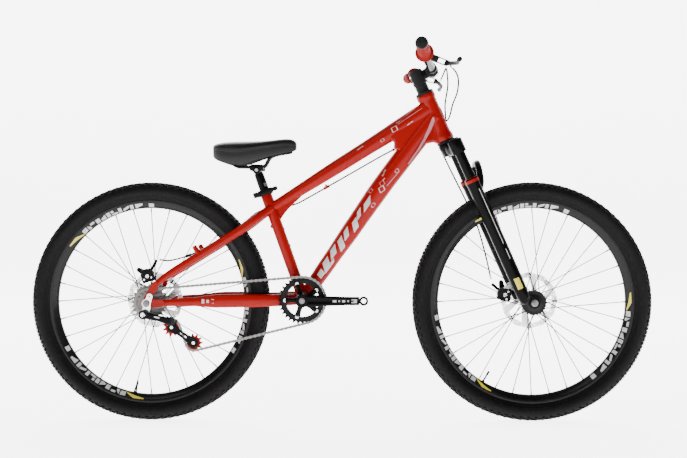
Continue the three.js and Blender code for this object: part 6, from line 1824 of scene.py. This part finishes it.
# ---------- chain ----------
def chain():
    """Links with pins and rollers, at even steps round the loop of four toothed wheels."""
    wheels = [(BRACKET, pitch_radius(32), 1), (REAR_AXLE, pitch_radius(18), 1),
              (GUIDE, pitch_radius(11), -1), (TENSION, pitch_radius(11), 1)]
    lines = []
    for i, (centre, radius, turn) in enumerate(wheels):
        other, reach, way = wheels[(i + 1) % 4]
        dx, dz = other.x - centre.x, other.z - centre.z
        angle = math.atan2(dz, dx) + math.asin((turn * radius - way * reach) / math.hypot(dx, dz))
        spot = lambda c, r, w: Vector((c.x + w * r * math.sin(angle), 0, c.z - w * r * math.cos(angle)))
        lines.append((spot(centre, radius, turn), spot(other, reach, way), angle))
    dense = []
    for i, (centre, radius, turn) in enumerate(wheels):
        arriving, leaving = lines[i - 1], lines[i]
        begin = arriving[2] - turn * math.pi / 2
        sweep = leaving[2] - arriving[2]
        while sweep * turn < 0:
            sweep += turn * 2 * math.pi
        steps = max(4, int(abs(sweep) / 0.02))
        for k in range(steps):
            dense.append(around(centre, math.degrees(begin + sweep * k / steps), radius, CHAINLINE))
        length = (leaving[1] - leaving[0]).length
        steps = max(2, int(length / 0.002))
        for k in range(steps):
            dense.append(sideways(leaving[0].lerp(leaving[1], k / steps), CHAINLINE))
    total = sum((dense[k] - dense[k - 1]).length for k in range(len(dense)))
    count = 2 * round(total / CHAIN_PITCH / 2)
    step = total / count
    pins = []
    travelled, k = 0.0, 0
    for i in range(count):
        target = i * step
        while travelled + (dense[(k + 1) % len(dense)] - dense[k]).length < target:
            travelled += (dense[(k + 1) % len(dense)] - dense[k]).length
            k += 1
        gap = (dense[(k + 1) % len(dense)] - dense[k]).length
        pins.append(dense[k].lerp(dense[(k + 1) % len(dense)], (target - travelled) / gap))
    links, rollers = Shape(), Shape()
    for i, pin in enumerate(pins):
        after = pins[(i + 1) % count]
        outer = i % 2 == 0
        offset, half = (0.0028, 0.00045) if outer else (0.0019, 0.00045)
        across = (after - pin).normalized()
        up = across.cross(Y)
        for sign in (-1, 1):
            face = sign * offset
            link = []
            for centre, base in ((after, -90), (pin, 90)):
                for a in range(0, 181, 30):
                    angle = math.radians(base + a)
                    link.append(centre + (across * math.cos(angle) + up * math.sin(angle)) * 0.0039)
                if centre is after:
                    link.append(pin.lerp(after, 0.5) + up * 0.0026)
                else:
                    link.append(pin.lerp(after, 0.5) - up * 0.0026)
            rings = [[p + Y * (face + h) for p in link] for h in (-half, half)]
            links.rings(rings)
        rollers.rod(pin - Y * 0.0033, pin + Y * 0.0033, 0.0015, sides=14, chamfer=0.0002)
        rollers.rod(pin - Y * 0.0014, pin + Y * 0.0014, 0.0037, sides=18)
    piece("chain_links", links, "frame", CHAIN_STEEL, ("chain",), crease=35)
    piece("chain_rollers", rollers, "frame", CHAIN_STEEL, crease=35)


# ---------- brakes ----------
def caliper(name, axle, angle, centre_y, body_low, body_high, face, cable_stop, body, thick):
    out = around(Vector(), angle, 1)
    along = Vector((-out.z, 0, out.x))
    centre = axle + out * 0.071
    shape = Shape()
    room_low, room_high = centre_y - 0.0022, centre_y + 0.0022
    # Two cheeks either side of the rotor, bridged outside its rim.
    for low, high in ((body_low + 0.0004, room_low), (room_high, body_high - 0.0004)):
        corners = []
        for u, v in ((0.0550, -0.0165), (0.0550, 0.0165), (0.0800, 0.0165), (0.0880, 0.0105),
                     (0.0915, 0.0), (0.0880, -0.0105), (0.0800, -0.0165)):
            spot = axle + out * u + along * v
            corners.append((spot.x, spot.z))
        shape = merge(shape, flat_shape([corners], low, high, bevel=0.0014))
    for v in (-0.0110, 0.0110):
        start = axle + out * 0.0872 + along * v
        shape.rod(sideways(start, body_low + 0.003), sideways(start, body_high - 0.003), 0.0042,
                  sides=24, chamfer=0.0006)
    shape.turned([(0.0, room_high), (0.0155, room_high), (0.0159, room_high + 0.002),
                  (0.0150, face - 0.0030), (0.0130, face - 0.0006), (0.0, face - 0.0006)],
                 centre, sides=56)
    stop = Vector(cable_stop)
    shape.tube(smooth_path([sideways(centre, thick), sideways(centre.lerp(stop, 0.5), thick + 0.001),
                            sideways(stop, thick + 0.004)], 14),
               spread([0.0048, 0.0042, 0.0044], 14), sides=20, flat=0.9, guide=Y, power=0.7)
    piece(f"{name}_caliper_body", shape, body, BLACK_SATIN,
          (f"{name}_brake_caliper",), crease=38)
    bright = Shape()
    for v in (-0.0112, 0.0112):
        spot = axle + out * 0.0640 + along * v
        bright.disc(spot, 0.0031, body_high - 0.0020, body_high + 0.0014, sides=24, chamfer=0.0004)
        bright.disc(spot, 0.0031, body_low - 0.0006, body_low + 0.0030, sides=24, chamfer=0.0004)
    bright.disc(centre, 0.0055, body_low + 0.0002, body_low + 0.0016, sides=28, chamfer=0.0003)
    piece(f"{name}_caliper_fittings", bright, body, BRIGHT_ALLOY, crease=32)
    pads = Shape()
    for low, high in ((room_low + 0.0001, room_low + 0.0011), (room_high - 0.0011, room_high - 0.0001)):
        pads.disc(centre, 0.0105, low, high, sides=32)
    piece(f"{name}_brake_pads", pads, body, RED_PLASTIC if name == "rear" else BLACK_SATIN,
          crease=32)
    return centre


def caliper_arm(name, centre, face, angle, body):
    low = face + 0.0003
    tip = around(centre, angle, 0.034)
    arm = flat_shape([capsule(Vector((centre.x, 0, centre.z)), Vector((tip.x, 0, tip.z)), 0.0106, 0.0056)],
                     low + 0.0001, low + 0.0048, bevel=0.0010)
    piece(f"{name}_arm_plate", arm, body, BLACK_SATIN, (f"{name}_caliper_arm",),
          crease=35)
    bright = Shape()
    bright.hexagon(Vector((centre.x, low + 0.0040, centre.z)), Y, 0.0085, 0.0018)
    bright.disc(tip, 0.0042, low + 0.0040, low + 0.0059, sides=24, chamfer=0.0005)
    bright.rod(Vector((tip.x, low + 0.0040, tip.z)), Vector((tip.x, low + 0.0059, tip.z)), 0.0021, sides=6)
    piece(f"{name}_arm_bolts", bright, body, BRIGHT_ALLOY, crease=30)


def brakes():
    front = around(FRONT_AXLE, 167, 0.071)
    rear = around(REAR_AXLE, 108, 0.071)
    centre = caliper("front", FRONT_AXLE, 167, 0.0396, 0.031, 0.056, 0.062,
                           (front.x - 0.035, 0.060, front.z + 0.030), "fork_lower", 0.051)
    caliper_arm("front", centre, 0.070, 100, "front_arm")
    hub_post = Shape().rod(sideways(front, 0.060), sideways(front, 0.0702), 0.0060, sides=28)
    piece("front_arm_post", hub_post, "fork_lower", BRIGHT_ALLOY)
    bracket = Shape()
    bracket.tube([sideways(front, 0.050), Vector((front.x + 0.007, 0.050, front.z + 0.017)),
                  Vector((front.x + 0.013, 0.050, front.z + 0.032))], [0.0058, 0.0056, 0.0060],
                 sides=20, flat=0.8, guide=Y, power=0.7)
    piece("front_caliper_bracket", bracket, "fork_lower", BLACK_SATIN)
    centre = caliper("rear", REAR_AXLE, 108, 0.0522, 0.044, 0.066, 0.070,
                           (rear.x + 0.024, 0.062, rear.z + 0.046), "frame", 0.060)
    caliper_arm("rear", centre, 0.070, 150, "rear_arm")
    tab = Shape()
    spot = SEATSTAY_FOOT + Vector((-0.002, 0, 0.014))
    tab.tube([sideways(rear, 0.062), sideways(rear.lerp(spot, 0.5), 0.0618), sideways(spot, 0.0618)],
             [0.0054, 0.0048, 0.0050], sides=20, flat=0.75, guide=Y, power=0.7)
    piece("rear_caliper_bracket", tab, "frame", RED_PAINT)


# ---------- floor and light ----------
def stage():
    floor_material = surface("floor", (0.80, 0.80, 0.80), 0.8, vary=0.015, vary_scale=2,
                             specular=0.0)
    glow = floor_material.node_tree.nodes["Principled BSDF"]
    glow.inputs["Emission Color"].default_value = (1, 1, 1, 1)
    glow.inputs["Emission Strength"].default_value = 5.0
    mesh = bpy.data.meshes.new("floor")
    sweep = [(-14, 0), (3.0, 0), (3.6, 0.08), (4.1, 0.35), (4.45, 0.85), (4.6, 1.6), (4.6, 9)]
    verts, faces = [], []
    for x in (-16, 16):
        verts += [(x, y, z - 0.0005) for y, z in sweep]
    count = len(sweep)
    faces = [(i, i + 1, count + i + 1, count + i) for i in range(count - 1)]
    mesh.from_pydata(verts, [], faces)
    mesh.flip_normals()
    for polygon in mesh.polygons:
        polygon.use_smooth = True
    floor = bpy.data.objects.new("floor", mesh)
    mesh.materials.append(floor_material)
    bpy.context.scene.collection.objects.link(floor)
    for name, place, size, power, target in (
        ("key", (-1.6, -3.0, 3.6), (3.2, 2.0), 60, (0, 0, 0.4)),
        ("fill", (3.0, -3.2, 2.2), (2.4, 2.4), 14, (0, 0, 0.5)),
        ("top", (0, 0.6, 4.2), (4.5, 3.0), 60, (0, 0, 0)),
        ("rim", (0.5, 3.2, 2.6), (4.0, 1.2), 25, (0, 0, 0.5)),
        ("front_strip", (0.0, -4.6, 0.6), (5.0, 0.6), 5, (0, 0, 0.5)),
    ):
        data = bpy.data.lights.new(name, "AREA")
        data.shape = "RECTANGLE"
        data.size, data.size_y = size
        data.energy = power
        light = bpy.data.objects.new(name, data)
        light.location = place
        light.rotation_euler = (Vector(target) - Vector(place)).to_track_quat("-Z", "Y").to_euler()
        bpy.context.scene.collection.objects.link(light)
    world = bpy.data.worlds.new("studio")
    world.use_nodes = True
    background = world.node_tree.nodes["Background"]
    background.inputs["Color"].default_value = (1, 1, 1, 1)
    background.inputs["Strength"].default_value = 0.12
    bpy.context.scene.world = world


wheels()
head_tube()
main_tubes()
stays()
dropouts()
frame_marks()
fork_uppers()
fork_lowers()
cockpit()
cables()
seat_clamp()
seatpost()
saddle()
spider()
chainring()
for crank_name, crank_side in (("right", RIGHT), ("left", LEFT)):
    crank(crank_name, crank_side)
freewheel()
derailleur()
cage()
chain()
brakes()
stage()
add_camera()
